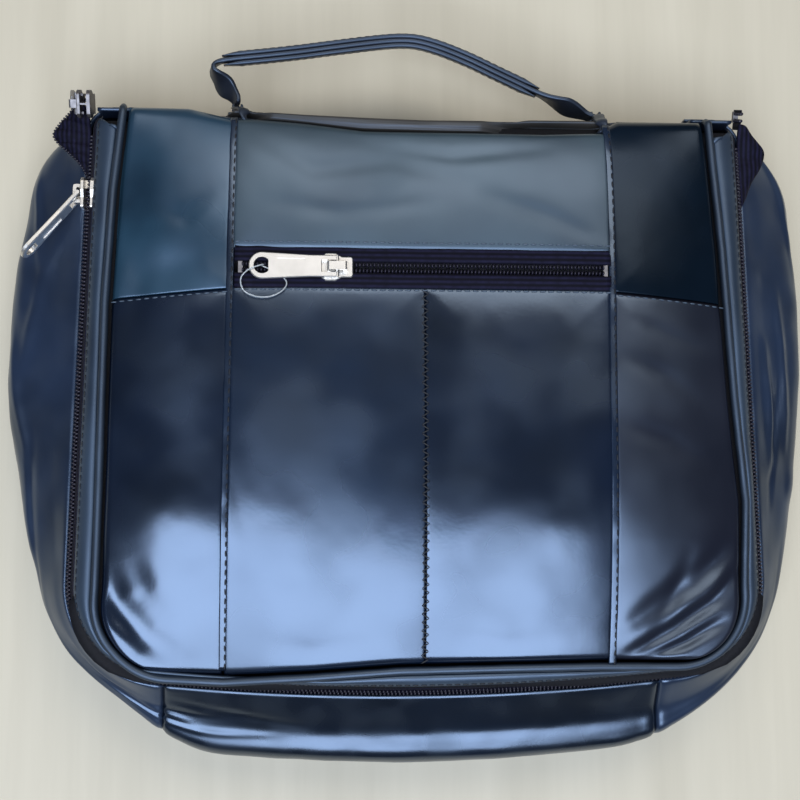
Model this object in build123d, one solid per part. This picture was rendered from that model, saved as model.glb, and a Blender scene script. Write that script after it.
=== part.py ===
from build123d import *
import math
import os

# Toiletry bag of patchwork leather, lying on its back with its lid up.
# Millimetres. X runs across the bag, Y towards the carrying handle, Z out of the lid.
# Z is 0 at the back panel's outer face, and X is 0 at the middle of the bag.

# Sheet materials
LEATHER = 1.4
LINING = 0.6
BOARD = 1.5
TAPE = 0.6

# Room left between pieces that lie against one another
SEWN_GAP = 0.25
LAYER_GAP = 0.1
HAIR = 0.05

# Heights of the lines that run round the bag
LOWER_EDGE_Z = 1.6
BELLY_Z = 24.0
GUSSET_TOP_Z = 43.8
ZIP_Z = 50.0
LID_EDGE_Z = 60.5

# Lid: a slightly tapered panel with a piped edge and a padded crown
LID_HALF_TOP = 109.0
LID_HALF_BOTTOM = 118.5
LID_TOP_Y = 101.0
LID_BOTTOM_Y = -102.0
LID_CORNER = 26.0
LID_CROWN = 10.0
CROWN_POWER = 6
CROWN_POINTS = 17
PIPING_R = 1.75
BAND_LEATHER = 1.0
BAND_LAP = 1.6
LINING_LEVEL = 56.3
LID_LINING_INSET = 1.6
LID_LINING_TOP_GAP = 2.0
LID_END_GAP = 1.6
BAND_TURN = 0.6
FOAM_INSET = 14.0
SEAM_STRIP_W = 3.4
SEAM_STRIP_H = 0.7
SEAM_STRIP_X = 69.0
SIDE_SEAM_Y = 33.0

# Zip line, seen from the front: it turns down both sides and along the bottom
BAND_SPREAD_TOP = 13.5
BAND_SPREAD_BOTTOM = 9.5
ZIP_HALF_TOP = LID_HALF_TOP + BAND_SPREAD_TOP
ZIP_HALF_BOTTOM = LID_HALF_BOTTOM + BAND_SPREAD_BOTTOM
ZIP_TOP_STEP = 3.5
ZIP_TOP_Y = LID_TOP_Y + ZIP_TOP_STEP
ZIP_BOTTOM_Y = -101.0
ZIP_BOTTOM_BOW = 9.0
ZIP_CORNER_TOP = 8.0
ZIP_CORNER_BOTTOM = 30.0

# Outline of the back panel, where the gussets meet it. Its sides bow out between their ends, so
# the corner that they would meet the bottom edge at lies inside the lid's
BACK_SPREAD_TOP = 31.5
BACK_SPREAD_BOTTOM = -2.0
BACK_HALF_TOP = LID_HALF_TOP + BACK_SPREAD_TOP
BACK_HALF_BOTTOM = LID_HALF_BOTTOM + BACK_SPREAD_BOTTOM
BACK_TOP_Y = ZIP_TOP_Y
BACK_BOTTOM_Y = -118.5
BACK_SIDE_BOW = 14.0
BACK_BOTTOM_BOW = 10.0
BACK_CORNER_TOP = 22.0
BACK_CORNER_BOTTOM = 48.0
BACK_PIPING_R = 1.6
BACK_PIPING_OUT = 2.35
STIFFENER_INSET = 8.0
FLOOR_LINING_INSET = 4.0

# Widest line of the gussets, where they belly out
BELLY_OUT_TOP = 9.0
BELLY_OUT_BOTTOM = 10.0
BELLY_HALF_TOP = BACK_HALF_TOP + BELLY_OUT_TOP
BELLY_HALF_BOTTOM = BACK_HALF_BOTTOM + BELLY_OUT_BOTTOM
BELLY_OUT_HANDLE_END = 1.5
BELLY_TOP_Y = BACK_TOP_Y + BELLY_OUT_HANDLE_END
BELLY_BOTTOM_Y = BACK_BOTTOM_Y - BELLY_OUT_BOTTOM
BELLY_SIDE_BOW = 15.0
BELLY_BOTTOM_BOW = 12.0
BELLY_CORNER_TOP = 30.0
BELLY_CORNER_BOTTOM = 58.0
BELLY_TURNS = (0.0, 22.5, 45.0, 67.5, 90.0)
ZIP_LINE_TUCK = 1.0
BOTTOM_SEAM_X = 97.0

# Lid hinge: the fold between the lid and the top panel
HINGE_STEP = 1.8
HINGE_Y = LID_TOP_Y + HINGE_STEP
HINGE_Z = LID_EDGE_Z
TOP_PANEL_SHORT = 5.0
TOP_PANEL_HALF = LID_HALF_TOP - TOP_PANEL_SHORT
TOP_PANEL_EDGE_Y = HINGE_Y + 1.0
TOP_PANEL_BULGE_Y = BELLY_TOP_Y
TOP_PANEL_RIM_GAP = 1.3
TOP_LINING_DROP = 3.0
CORNER_TAB_STEP = 0.4
CORNER_TAB_INSET = 2.5
FOLD_T = 1.0
FOLD_LID_GAP = 0.75

# Zips: every slider and chain on the bag has the same section
ROW_GAP = 1.2
ROW_W = 1.5
ROW_T = 2.0
TAPE_VISIBLE = 9.0
CHAIN_END_Y = 95.0
BAND_EDGE_RISE = 5.8
RUN_CLEARANCE = 0.25
SLIDER_LENGTH = 11.4
SLIDER_HALF_W = 5.0
SLIDER_NECK_HALF_W = 3.7
PLATE_T = 1.2
POST_T = 0.6
POST_LENGTH = 3.0
FLANGE_T = 0.9
BAIL_LENGTH = 7.0
BAIL_W = 3.0
BAIL_BAR = 1.2
PULL_LENGTH = 31.2
PULL_W = 9.6
PULL_T = 1.6
PULL_PIVOT_R = 0.7
PULL_EYE = 5.6
PULL_EYE_W = 4.4
PULL_WAIST = 0.9
PULL_SHOULDER = 4.0
PULL_RIM = 0.3
PULL_HOLE_R = 3.0
PULL_HOLE_EDGE = 1.7
PULL_FIELD_EDGE = 2.6
PULL_FIELD_LENGTH = 9.6
PULL_FIELD_W = 5.2
PULL_FIELD_DEPTH = 0.35
STOP_LENGTH = 1.6
SLIDER_PROFILE = (-1.0, -0.7, -0.1, 0.3, 1.0)
SLIDER_CORNER_R = 0.9
PLATE_CHAMFER = 0.3
POST_INSET = 0.4
FLANGE_REACH = 1.3
BAIL_ROUND = 0.7
HOLE_FLAT = 0.75
ROW_NEAR = ROW_GAP / 2
ROW_FAR = ROW_GAP / 2 + ROW_W
PLATE_NEAR = ROW_T / 2 + RUN_CLEARANCE
PLATE_TOP = PLATE_NEAR + PLATE_T
PULL_HEIGHT = PLATE_TOP + RUN_CLEARANCE + PULL_T / 2

# Places of the sliders and how their pulls hang
MAIN_SLIDER_Y = 72.5
MAIN_PULL_ANGLE = 141.0
END_SLIDER_Y = 106.0
END_SLIDER_Z = 53.5
END_SLIDER_OUT = 2.1
END_SLIDER_TILT = 70.0
END_PULL_ANGLE = 166.0
TAIL_LENGTH = 14.0
TAIL_TAPE_W = 3.6
TAIL_WEB_W = 3.9

# Front pocket, with its own straight zip across the lid
POCKET_ZIP_Y = 42.0
POCKET_SLOT = 13.0
POCKET_SLIDER_X = -31.6
POCKET_CHAIN_HALF = 65.0
POCKET_TAPE_LAP = 4.0
POCKET_DROP = 3.1
POCKET_LAYER = 0.5
POCKET_BOTTOM_Y = -78.0
POCKET_HALF = 62.0
POCKET_BAG_GAP = 0.3
POCKET_SEAM_HALF = 1.5
POCKET_LIP = 2.0
POCKET_TAPE_INSET = 1.0

# Handle: one strap with a padded grip, swinging on two sewn tabs
HANDLE_PIVOT_Y = 111.0
HANDLE_Z = 42.0
STRAP_T = 1.8
STRAP_W = 16.0
PAD_T = 1.5
NECK_W = 7.0
NECK_END = 5.0
NECK_SPREAD = 8.0
TAB_CHEEK = 1.4
TAB_GAP = 0.3
TAB_REACH = 1.6
TAB_HALF_H = 3.0
HANDLE_ROOT_LEFT = -69.5
HANDLE_ROOT_RIGHT = 70.0
HANDLE_POINTS = [
    (HANDLE_ROOT_LEFT, HANDLE_PIVOT_Y), (HANDLE_ROOT_LEFT, 116.0), (-76.0, 121.0), (-79.5, 125.5),
    (-75.5, 129.8), (-58.0, 131.7), (-10.0, 136.8), (4.0, 135.5), (22.0, 127.8), (50.0, 118.4),
    (HANDLE_ROOT_RIGHT, 115.6), (HANDLE_ROOT_RIGHT, HANDLE_PIVOT_Y),
]
HANDLE_RADII = [5.0, 5.0, 3.0, 4.0, 20.0, 12.0, 18.0, 20.0, 20.0, 2.4]
PAD_START_X = -73.0
PAD_END_X = 48.0

# Thin plastic loop through the hole of the pocket pull, from the hole and back to it
LOOP_R = 0.25
LOOP_LOW = -1.15
LOOP_STEPS = [
    (0.0, 0.0, 0.05), (0.0, 0.0, 1.4), (-4.4, -1.6, 1.4), (-7.4, -4.6, 0.2), (-6.6, -8.6, LOOP_LOW),
    (-2.6, -10.8, LOOP_LOW), (2.6, -10.9, LOOP_LOW), (7.0, -8.8, LOOP_LOW), (8.6, -5.6, LOOP_LOW),
    (5.0, -2.0, LOOP_LOW), (0.0, 0.0, LOOP_LOW), (0.0, 0.0, -0.05),
]
LOOP_RADII = [0.6, 2.0, 2.5, 2.5, 2.5, 2.5, 2.5, 2.0, 2.0, 0.6]

# Working sizes of the cutting blocks, larger than the bag, and the tolerance of a comparison
FAR = 400.0
DEEP = 10.0
SAME = 0.01

# A line round the bag is eight numbers: its half width at the top and at the bottom, its top
# and bottom edge, the bows of its sides and bottom, and its top and bottom corner radius
ZIP_LINE = [ZIP_HALF_TOP, ZIP_HALF_BOTTOM, ZIP_TOP_Y, ZIP_BOTTOM_Y,
            0.0, ZIP_BOTTOM_BOW, ZIP_CORNER_TOP, ZIP_CORNER_BOTTOM]
BELLY_LINE = [BELLY_HALF_TOP, BELLY_HALF_BOTTOM, BELLY_TOP_Y, BELLY_BOTTOM_Y,
              BELLY_SIDE_BOW, BELLY_BOTTOM_BOW, BELLY_CORNER_TOP, BELLY_CORNER_BOTTOM]
BACK_LINE = [BACK_HALF_TOP, BACK_HALF_BOTTOM, BACK_TOP_Y, BACK_BOTTOM_Y,
             BACK_SIDE_BOW, BACK_BOTTOM_BOW, BACK_CORNER_TOP, BACK_CORNER_BOTTOM]
LID_LINE = [LID_HALF_TOP, LID_HALF_BOTTOM, LID_TOP_Y, LID_BOTTOM_Y, 0.0, 0.0, 0.0, LID_CORNER]
# The lid's line with its sides run on past the fold, which the side band is cut to
LID_LINE_LONG = [LID_HALF_TOP, LID_HALF_BOTTOM, ZIP_TOP_Y, LID_BOTTOM_Y, 0.0, 0.0, 1.0, LID_CORNER]


def blend_lines(inner, outer, share):
    """A line part of the way from one to another."""
    return [a + (b - a) * share for a, b in zip(inner, outer)]


def grown(line, amount):
    """The same line moved outwards by an amount, or inwards where it is negative."""
    half_top, half_bottom, top, bottom, side_bow, bottom_bow, corner_top, corner_bottom = line
    top_radius = corner_top + amount if corner_top else 0.0
    return [half_top + amount, half_bottom + amount, top + amount, bottom - amount,
            side_bow, bottom_bow, top_radius, corner_bottom + amount]


def bowed_edge(start, end, bow, outward):
    if abs(bow) < SAME:
        return Line(start, end)
    middle = (Vector(*start) + Vector(*end)) * 0.5 + Vector(*outward) * bow
    return ThreePointArc(start, middle, end)


def outline_face(line, z=0.0):
    """The flat area inside a line, at a height."""
    half_top, half_bottom, top, bottom, side_bow, bottom_bow, corner_top, corner_bottom = line
    left_top, right_top = (-half_top, top), (half_top, top)
    left_bottom, right_bottom = (-half_bottom, bottom), (half_bottom, bottom)
    area = make_face([
        Line(left_top, right_top),
        bowed_edge(right_top, right_bottom, side_bow, (1, 0)).edge(),
        bowed_edge(right_bottom, left_bottom, bottom_bow, (0, -1)).edge(),
        bowed_edge(left_bottom, left_top, side_bow, (-1, 0)).edge(),
    ])
    lower = [v for v in area.vertices() if v.Y < 0]
    area = fillet(lower, corner_bottom)
    if corner_top:
        upper = [v for v in area.vertices() if abs(v.Y - top) < SAME]
        area = fillet(upper, corner_top)
    return Pos(0, 0, z) * area.faces()[0]


def prism(line, low, high):
    return extrude(outline_face(line, low), amount=high - low, dir=(0, 0, 1))


def block(x0, x1, y0, y1, z0=-FAR, z1=FAR):
    return Pos((x0 + x1) / 2, (y0 + y1) / 2, (z0 + z1) / 2) * Box(x1 - x0, y1 - y0, z1 - z0)


def largest(shape):
    return max(shape.solids(), key=lambda solid: solid.volume)


def wall_body(inset, floor_z):
    """The filled shape of the gussets, drawn in by an amount, from its floor to the zip line."""
    top = GUSSET_TOP_Z - inset
    steps = [(floor_z, blend_lines(BACK_LINE, BELLY_LINE, 0.0))]
    middle = (LOWER_EDGE_Z + BELLY_Z) / 2
    steps.append((middle, blend_lines(BACK_LINE, BELLY_LINE, math.cos(math.radians(45)))))
    for degrees in BELLY_TURNS:
        turn = math.radians(degrees)
        height = BELLY_Z + (top - BELLY_Z) * math.sin(turn)
        line = blend_lines(grown(ZIP_LINE, -ZIP_LINE_TUCK), BELLY_LINE, math.cos(turn))
        steps.append((height, line))
    wires = [outline_face(grown(line, -inset), z).outer_wire() for z, line in steps]
    return Solid.make_loft(wires)


def gusset_shell(outer_inset, inner_inset):
    shell = wall_body(outer_inset, LOWER_EDGE_Z) - wall_body(inner_inset, LOWER_EDGE_Z - LEATHER)
    mouth = grown(ZIP_LINE, TAPE / 2 + HAIR)
    return shell - prism(mouth, BELLY_Z + DEEP, GUSSET_TOP_Z + DEEP)


def side_piece(shell, side):
    """One side's gusset, from the bottom seam round the top corner."""
    near, far = sorted((side * TOP_PANEL_HALF, side * FAR))
    seam_near, seam_far = sorted((side * BOTTOM_SEAM_X, side * FAR))
    upper = shell & block(near, far, 0.0, FAR)
    lower = shell & block(seam_near, seam_far, -FAR, 0.0)
    return largest(upper + lower)


def make_gussets():
    leather = gusset_shell(0.0, LEATHER)
    inside = LEATHER + SEWN_GAP
    cloth = gusset_shell(inside, inside + LINING)
    bottom = block(-BOTTOM_SEAM_X, BOTTOM_SEAM_X, -FAR, 0.0)
    return {
        "left_gusset": side_piece(leather, -1),
        "right_gusset": side_piece(leather, 1),
        "bottom_gusset": largest(leather & bottom),
        "left_lining": side_piece(cloth, -1),
        "right_lining": side_piece(cloth, 1),
        "bottom_lining": largest(cloth & bottom),
    }


def top_sheet(inset, thickness, rim_z):
    """The upright sheet at the handle end, slightly bulged, drawn in by an amount."""
    low, high = LOWER_EDGE_Z, rim_z
    middle = (low + high) / 2

    def curve(depth):
        start = Vector(0, BACK_TOP_Y - depth, low)
        crest = Vector(0, TOP_PANEL_BULGE_Y - depth, middle)
        end = Vector(0, TOP_PANEL_EDGE_Y + LEATHER - depth, high)
        return ThreePointArc(start, crest, end), start, end

    outer, outer_low, outer_high = curve(inset)
    inner, inner_low, inner_high = curve(inset + thickness)
    area = make_face([outer.edge(), Line(outer_high, inner_high).edge(),
                      inner.edge(), Line(inner_low, outer_low).edge()])
    return extrude(area, amount=TOP_PANEL_HALF, dir=(1, 0, 0), both=True)


def make_top():
    rim = HINGE_Z - TOP_PANEL_RIM_GAP
    inside = LEATHER + SEWN_GAP
    parts = {
        "top_panel": top_sheet(0.0, LEATHER, rim),
        "top_lining": top_sheet(inside, LINING, rim - TOP_LINING_DROP),
    }
    low, high = GUSSET_TOP_Z + LAYER_GAP, HINGE_Z - TOP_LINING_DROP
    for side, name in ((-1, "corner_tab_left"), (1, "corner_tab_right")):
        x0, x1 = sorted((side * (TOP_PANEL_HALF + LAYER_GAP), side * (ZIP_HALF_TOP - CORNER_TAB_INSET)))
        y1 = TOP_PANEL_EDGE_Y + LEATHER - CORNER_TAB_STEP
        parts[name] = block(x0, x1, y1 - LEATHER, y1, low, high)
    return parts


def make_back():
    piping_line = grown(BACK_LINE, BACK_PIPING_OUT)
    path = outline_face(piping_line, BACK_PIPING_R + LAYER_GAP).outer_wire()
    start = path @ 0
    section = Plane(origin=start, z_dir=path % 0) * Circle(BACK_PIPING_R)
    piping = Solid.sweep(section.face(), path)
    board_low = LOWER_EDGE_Z + LAYER_GAP
    board_high = board_low + BOARD
    floor_low = board_high + LAYER_GAP
    return {
        "back_panel": prism(BACK_LINE, 0.0, LOWER_EDGE_Z),
        "back_piping": piping,
        "back_stiffener": prism(grown(BACK_LINE, -STIFFENER_INSET), board_low, board_high),
        "floor_lining": prism(grown(BACK_LINE, -FLOOR_LINING_INSET), floor_low, floor_low + LINING),
    }


def open_top(shape, end_y):
    return shape & block(-FAR, FAR, -FAR, end_y)


def wall_ring(line, inner, outer, low, high, end_y):
    """An upright band that follows a line, open at the handle end."""
    ring = prism(grown(line, outer), low, high) - prism(grown(line, inner), low, high)
    return open_top(ring, end_y)


def make_main_chain():
    half_tape, half_row = TAPE / 2, ROW_T / 2
    body_row = (ZIP_Z - ROW_FAR, ZIP_Z - ROW_NEAR)
    lid_row = (ZIP_Z + ROW_NEAR, ZIP_Z + ROW_FAR)
    band_edge = ZIP_Z + BAND_EDGE_RISE
    ends = CHAIN_END_Y
    return {
        "body_zip_tape": wall_ring(ZIP_LINE, -half_tape, half_tape,
                                   body_row[0] - TAPE_VISIBLE, body_row[0], ends),
        "body_zip_coil": wall_ring(ZIP_LINE, -half_row, half_row, *body_row, ends),
        "lid_zip_coil": wall_ring(ZIP_LINE, -half_row, half_row, *lid_row, ends),
        "lid_zip_tape": wall_ring(ZIP_LINE, -half_tape, half_tape,
                                  lid_row[1], band_edge + BAND_LAP - 4 * HAIR, ends),
    }


def crown_height(x, y):
    """Height of the lid's outer surface: flat in the middle, falling to the piped edge."""
    share = (LID_TOP_Y - y) / (LID_TOP_Y - LID_BOTTOM_Y)
    half = LID_HALF_TOP + (LID_HALF_BOTTOM - LID_HALF_TOP) * share
    across = 1.0 - abs(x / half) ** CROWN_POWER
    along = 1.0 - abs(2.0 * share - 1.0) ** CROWN_POWER
    return LID_EDGE_Z + LID_CROWN * across * along


def crown_face(drop):
    """The crown's surface, some way below its own height."""
    rows = []
    for i in range(CROWN_POINTS):
        row = []
        for j in range(CROWN_POINTS):
            share = j / (CROWN_POINTS - 1)
            y = LID_TOP_Y + (LID_BOTTOM_Y - LID_TOP_Y) * share
            half = LID_HALF_TOP + (LID_HALF_BOTTOM - LID_HALF_TOP) * share
            x = half * (2.0 * i / (CROWN_POINTS - 1) - 1.0)
            row.append(Vector(x, y, crown_height(x, y) - drop))
        rows.append(row)
    return Face.make_surface_from_array_of_points(rows, tol=0.01, max_deg=5)


def crown_sheet(drop, thickness):
    """A sheet that follows the crown, some way below its surface."""
    return extrude(crown_face(drop), amount=thickness, dir=(0, 0, -1))


def make_lid_leather():
    edge = prism(grown(LID_LINE, -PIPING_R - LAYER_GAP), LID_EDGE_Z - DEEP, LID_EDGE_Z + 3 * DEEP)
    sheet = crown_sheet(0.0, LEATHER) & edge
    slot_low = POCKET_ZIP_Y - POCKET_SLOT / 2
    slot_high = POCKET_ZIP_Y + POCKET_SLOT / 2
    seam = SEAM_STRIP_X
    areas = {
        "lid_center_top": (-seam, seam, slot_high, FAR),
        "lid_center_left": (-seam, 0.0, -FAR, slot_low),
        "lid_center_right": (0.0, seam, -FAR, slot_low),
        "lid_left_upper": (-FAR, -seam, SIDE_SEAM_Y, FAR),
        "lid_left_lower": (-FAR, -seam, -FAR, SIDE_SEAM_Y),
        "lid_right_upper": (seam, FAR, SIDE_SEAM_Y, FAR),
        "lid_right_lower": (seam, FAR, -FAR, SIDE_SEAM_Y),
    }
    parts = {name: largest(sheet & block(*area)) for name, area in areas.items()}
    raised = crown_sheet(-SEAM_STRIP_H - HAIR, SEAM_STRIP_H) & edge
    half = SEAM_STRIP_W / 2
    parts["seam_strip_left"] = largest(raised & block(-seam - half, -seam + half, -FAR, FAR))
    parts["seam_strip_right"] = largest(raised & block(seam - half, seam + half, -FAR, FAR))
    return parts


def make_lid_edge():
    border = outline_face(LID_LINE, LID_EDGE_Z).outer_wire()
    run = Wire([e for e in border.edges() if e.center().Y < LID_TOP_Y - SAME])
    section = Plane(origin=run @ 0, z_dir=run % 0) * Circle(PIPING_R)
    piping = Solid.sweep(section.face(), run)

    band_low = ZIP_Z + BAND_EDGE_RISE
    bend = band_low + BAND_LAP
    start = TAPE / 2 + HAIR
    piped = grown(LID_LINE_LONG, PIPING_R + LAYER_GAP)

    def slope(extra, low, high):
        foot = grown(ZIP_LINE, start + extra)
        lines = [(low, foot), (bend + extra * BAND_TURN, foot), (high, LID_LINE_LONG)]
        return Solid.make_loft([outline_face(line, z).outer_wire() for z, line in lines], ruled=True)

    under = band_low - BAND_LEATHER
    band = slope(BAND_LEATHER, band_low, LID_EDGE_Z) - slope(0.0, under, LID_EDGE_Z - BAND_LEATHER)
    band = band - prism(piped, under, LID_EDGE_Z + BAND_LEATHER)
    return {"lid_piping": piping, "lid_side_band": largest(open_top(band, LID_TOP_Y - LID_END_GAP))}


def make_lid_inside():
    lining_top = LINING_LEVEL + LINING
    inner = prism(grown(ZIP_LINE, -LID_LINING_INSET), LINING_LEVEL, lining_top)
    inner = open_top(inner, LID_TOP_Y - LID_LINING_TOP_GAP)
    pocket_top = POCKET_DROP + LEATHER
    gap = POCKET_LAYER + POCKET_BAG_GAP
    foam_top = pocket_top + gap + 2 * POCKET_LAYER + SEWN_GAP * 2
    foam = extrude(crown_face(foam_top), amount=FAR, dir=(0, 0, -1))
    foam_line = grown(LID_LINE, -FOAM_INSET)
    foam = foam & prism(foam_line, lining_top + LAYER_GAP, LID_EDGE_Z + 3 * DEEP)
    front = crown_sheet(pocket_top, POCKET_LAYER)
    back = crown_sheet(pocket_top + gap, POCKET_LAYER)
    seam = crown_sheet(pocket_top, gap + POCKET_LAYER)
    reach = POCKET_SLOT / 2 + POCKET_TAPE_LAP
    low, high = POCKET_ZIP_Y - reach, POCKET_ZIP_Y + reach
    half = POCKET_HALF
    bottom = POCKET_BOTTOM_Y
    fold = (bottom - POCKET_SEAM_HALF, bottom + POCKET_SEAM_HALF)
    bag = front & block(-half, half, bottom, low + POCKET_LIP)
    bag = bag + (back & block(-half, half, bottom, high))
    bag = bag + (seam & block(-half, half, *fold))
    return {"lid_lining": inner, "lid_foam": largest(foam), "pocket_bag": largest(bag)}


POCKET_CHAIN_Z = crown_height(0.0, POCKET_ZIP_Y) - LEATHER - HAIR - TAPE / 2


def make_pocket_zip():
    reach = POCKET_SLOT / 2 + POCKET_TAPE_LAP
    half_tape = SEAM_STRIP_X - POCKET_TAPE_INSET
    sheet = crown_sheet(LEATHER + HAIR, TAPE)
    upper = (POCKET_ZIP_Y + ROW_FAR, POCKET_ZIP_Y + reach)
    lower = (POCKET_ZIP_Y - reach, POCKET_ZIP_Y - ROW_FAR)
    z0, z1 = POCKET_CHAIN_Z - ROW_T / 2, POCKET_CHAIN_Z + ROW_T / 2
    run = POCKET_CHAIN_HALF
    stop_mid = run + LAYER_GAP + STOP_LENGTH / 2
    stop_half = ROW_FAR - HAIR
    stops = [block(side * stop_mid - STOP_LENGTH / 2, side * stop_mid + STOP_LENGTH / 2,
                   POCKET_ZIP_Y - stop_half, POCKET_ZIP_Y + stop_half, z0, z1)
             for side in (-1, 1)]
    return {
        "pocket_tape_upper": sheet & block(-half_tape, half_tape, *upper),
        "pocket_tape_lower": sheet & block(-half_tape, half_tape, *lower),
        "pocket_coil_upper": block(-run, run, POCKET_ZIP_Y + ROW_NEAR, POCKET_ZIP_Y + ROW_FAR, z0, z1),
        "pocket_coil_lower": block(-run, run, POCKET_ZIP_Y - ROW_FAR, POCKET_ZIP_Y - ROW_NEAR, z0, z1),
        "pocket_zip_stops": Compound(children=stops),
    }


def slider_body(flange_sides):
    """A zip slider about its chain: X along it, shoulders at -X, Z out of the bag."""
    half = SLIDER_LENGTH / 2
    shoulder = SLIDER_HALF_W
    neck = SLIDER_NECK_HALF_W
    widths = (neck, shoulder, shoulder, neck, neck)
    corners = [(half * share, width) for share, width in zip(SLIDER_PROFILE, widths)]
    mirrored = [(x, -y) for x, y in reversed(corners)]
    area = make_face(Polyline(*corners, *mirrored, close=True).edges())
    area = fillet(area.vertices(), SLIDER_CORNER_R)
    plate = extrude(area, amount=PLATE_T)
    upper = Pos(0, 0, PLATE_NEAR) * plate
    upper = chamfer(upper.faces().sort_by(Axis.Z)[-1].edges(), PLATE_CHAMFER)
    lower = Pos(0, 0, -PLATE_TOP) * plate
    post_x = -half + POST_LENGTH / 2 + POST_INSET
    post = Pos(post_x, 0, 0) * Box(POST_LENGTH, POST_T, 2 * PLATE_NEAR + LAYER_GAP)
    body = upper + lower + post
    flange_gap = TAPE / 2 + RUN_CLEARANCE
    flange_h = PLATE_NEAR - flange_gap
    for side in flange_sides:
        y = side * (neck - FLANGE_T / 2)
        for level in (-1, 1):
            z = level * (flange_gap + flange_h / 2 + HAIR)
            flange = Box(half * FLANGE_REACH, FLANGE_T, flange_h + 2 * HAIR)
            body = body + Pos(half * (FLANGE_REACH - 1.0), y, z) * flange
    bar_low = PULL_HEIGHT + PULL_PIVOT_R + RUN_CLEARANCE
    leg_x = (BAIL_LENGTH - BAIL_BAR) / 2
    leg_h = bar_low - PLATE_TOP + BAIL_BAR
    for side in (-1, 1):
        leg = Box(BAIL_BAR, BAIL_W, leg_h + LAYER_GAP)
        body = body + Pos(side * leg_x, 0, PLATE_TOP + (leg_h - LAYER_GAP) / 2) * leg
    bar = Pos(0, 0, bar_low + BAIL_BAR / 2) * Box(BAIL_LENGTH, BAIL_W, BAIL_BAR)
    body = body + bar
    crest = [e for e in body.edges() if abs(e.center().Z - bar_low - BAIL_BAR) < SAME
             and abs(abs(e.center().X) - BAIL_LENGTH / 2) < SAME]
    return fillet(crest, BAIL_BAR * BAIL_ROUND)


def zip_pull():
    """A pull about its pivot: X is 0 at the pivot and the grip lies towards -X."""
    tip = -PULL_LENGTH
    half = PULL_W / 2
    waist = half - PULL_WAIST
    shoulder_x = -PULL_EYE - PULL_SHOULDER
    area = make_face([
        Line((0, -waist), (0, waist)).edge(),
        Line((0, waist), (shoulder_x, waist)).edge(),
        Line((shoulder_x, waist), (tip + half, half)).edge(),
        ThreePointArc((tip + half, half), (tip, 0), (tip + half, -half)).edge(),
        Line((tip + half, -half), (shoulder_x, -waist)).edge(),
        Line((shoulder_x, -waist), (0, -waist)).edge(),
    ])
    body = extrude(area, amount=PULL_T / 2, both=True)
    rim = [e for e in body.edges() if abs(abs(e.center().Z) - PULL_T / 2) < SAME]
    body = chamfer(rim, PULL_RIM)
    body = body - Pos(-PULL_EYE / 2, 0, 0) * Box(PULL_EYE, PULL_EYE_W, 2 * PULL_T)
    hole_x = tip + PULL_HOLE_EDGE + PULL_HOLE_R
    round_hole = Pos(hole_x, 0, 0) * Cylinder(PULL_HOLE_R, 2 * PULL_T)
    flat_side = block(-FAR, hole_x + PULL_HOLE_R * HOLE_FLAT, -FAR, FAR)
    body = body - (round_hole & flat_side)
    field_x = hole_x + PULL_HOLE_R + PULL_FIELD_EDGE + PULL_FIELD_LENGTH / 2
    for side in (-1, 1):
        z = side * PULL_T / 2
        body = body - Pos(field_x, 0, z) * Box(PULL_FIELD_LENGTH, PULL_FIELD_W, 2 * PULL_FIELD_DEPTH)
    pivot = Rot(90, 0, 0) * Cylinder(PULL_PIVOT_R, 2 * waist)
    return body + pivot


def hung_pull(frame, degrees):
    """A pull on a slider whose frame has X towards its tail and Z out of the bag,
    lifted from lying over the shoulders by an angle."""
    pull = Pos(0, 0, PULL_HEIGHT) * (Rot(0, degrees, 0) * zip_pull())
    return frame * pull


def zip_run_x(y):
    """Distance of the straight side of the zip from the middle of the bag."""
    share = (ZIP_TOP_Y - y) / (ZIP_TOP_Y - ZIP_BOTTOM_Y)
    return ZIP_HALF_TOP + (ZIP_HALF_BOTTOM - ZIP_HALF_TOP) * share


def left_run():
    """Unit directions of the left zip run: along it towards the bottom, and outwards."""
    along = Vector(-(ZIP_HALF_BOTTOM - ZIP_HALF_TOP), ZIP_BOTTOM_Y - ZIP_TOP_Y, 0).normalized()
    outward = Vector(along.Y, -along.X, 0)
    return along, outward


def make_main_slider():
    along, outward = left_run()
    origin = Vector(-zip_run_x(MAIN_SLIDER_Y), MAIN_SLIDER_Y, ZIP_Z)
    frame = Plane(origin=origin, x_dir=along, z_dir=outward)
    body_side = -1
    pivot = origin + outward * PULL_HEIGHT
    print("main slider run", tuple(along), "outward", tuple(outward), "pull pivot", tuple(pivot))
    pull = hung_pull(frame, MAIN_PULL_ANGLE)
    return {"main_slider": frame * slider_body((body_side,)), "main_pull": pull}


def end_frame(side):
    """The frame of a turned-down zip end: X away from the bag's lid, Z out of its side."""
    tilt = math.radians(END_SLIDER_TILT)
    tail = Vector(0, math.cos(tilt), -math.sin(tilt))
    origin = Vector(side * (zip_run_x(END_SLIDER_Y) + END_SLIDER_OUT), END_SLIDER_Y, END_SLIDER_Z)
    return Plane(origin=origin, x_dir=tail, z_dir=Vector(side, 0, 0))


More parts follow.
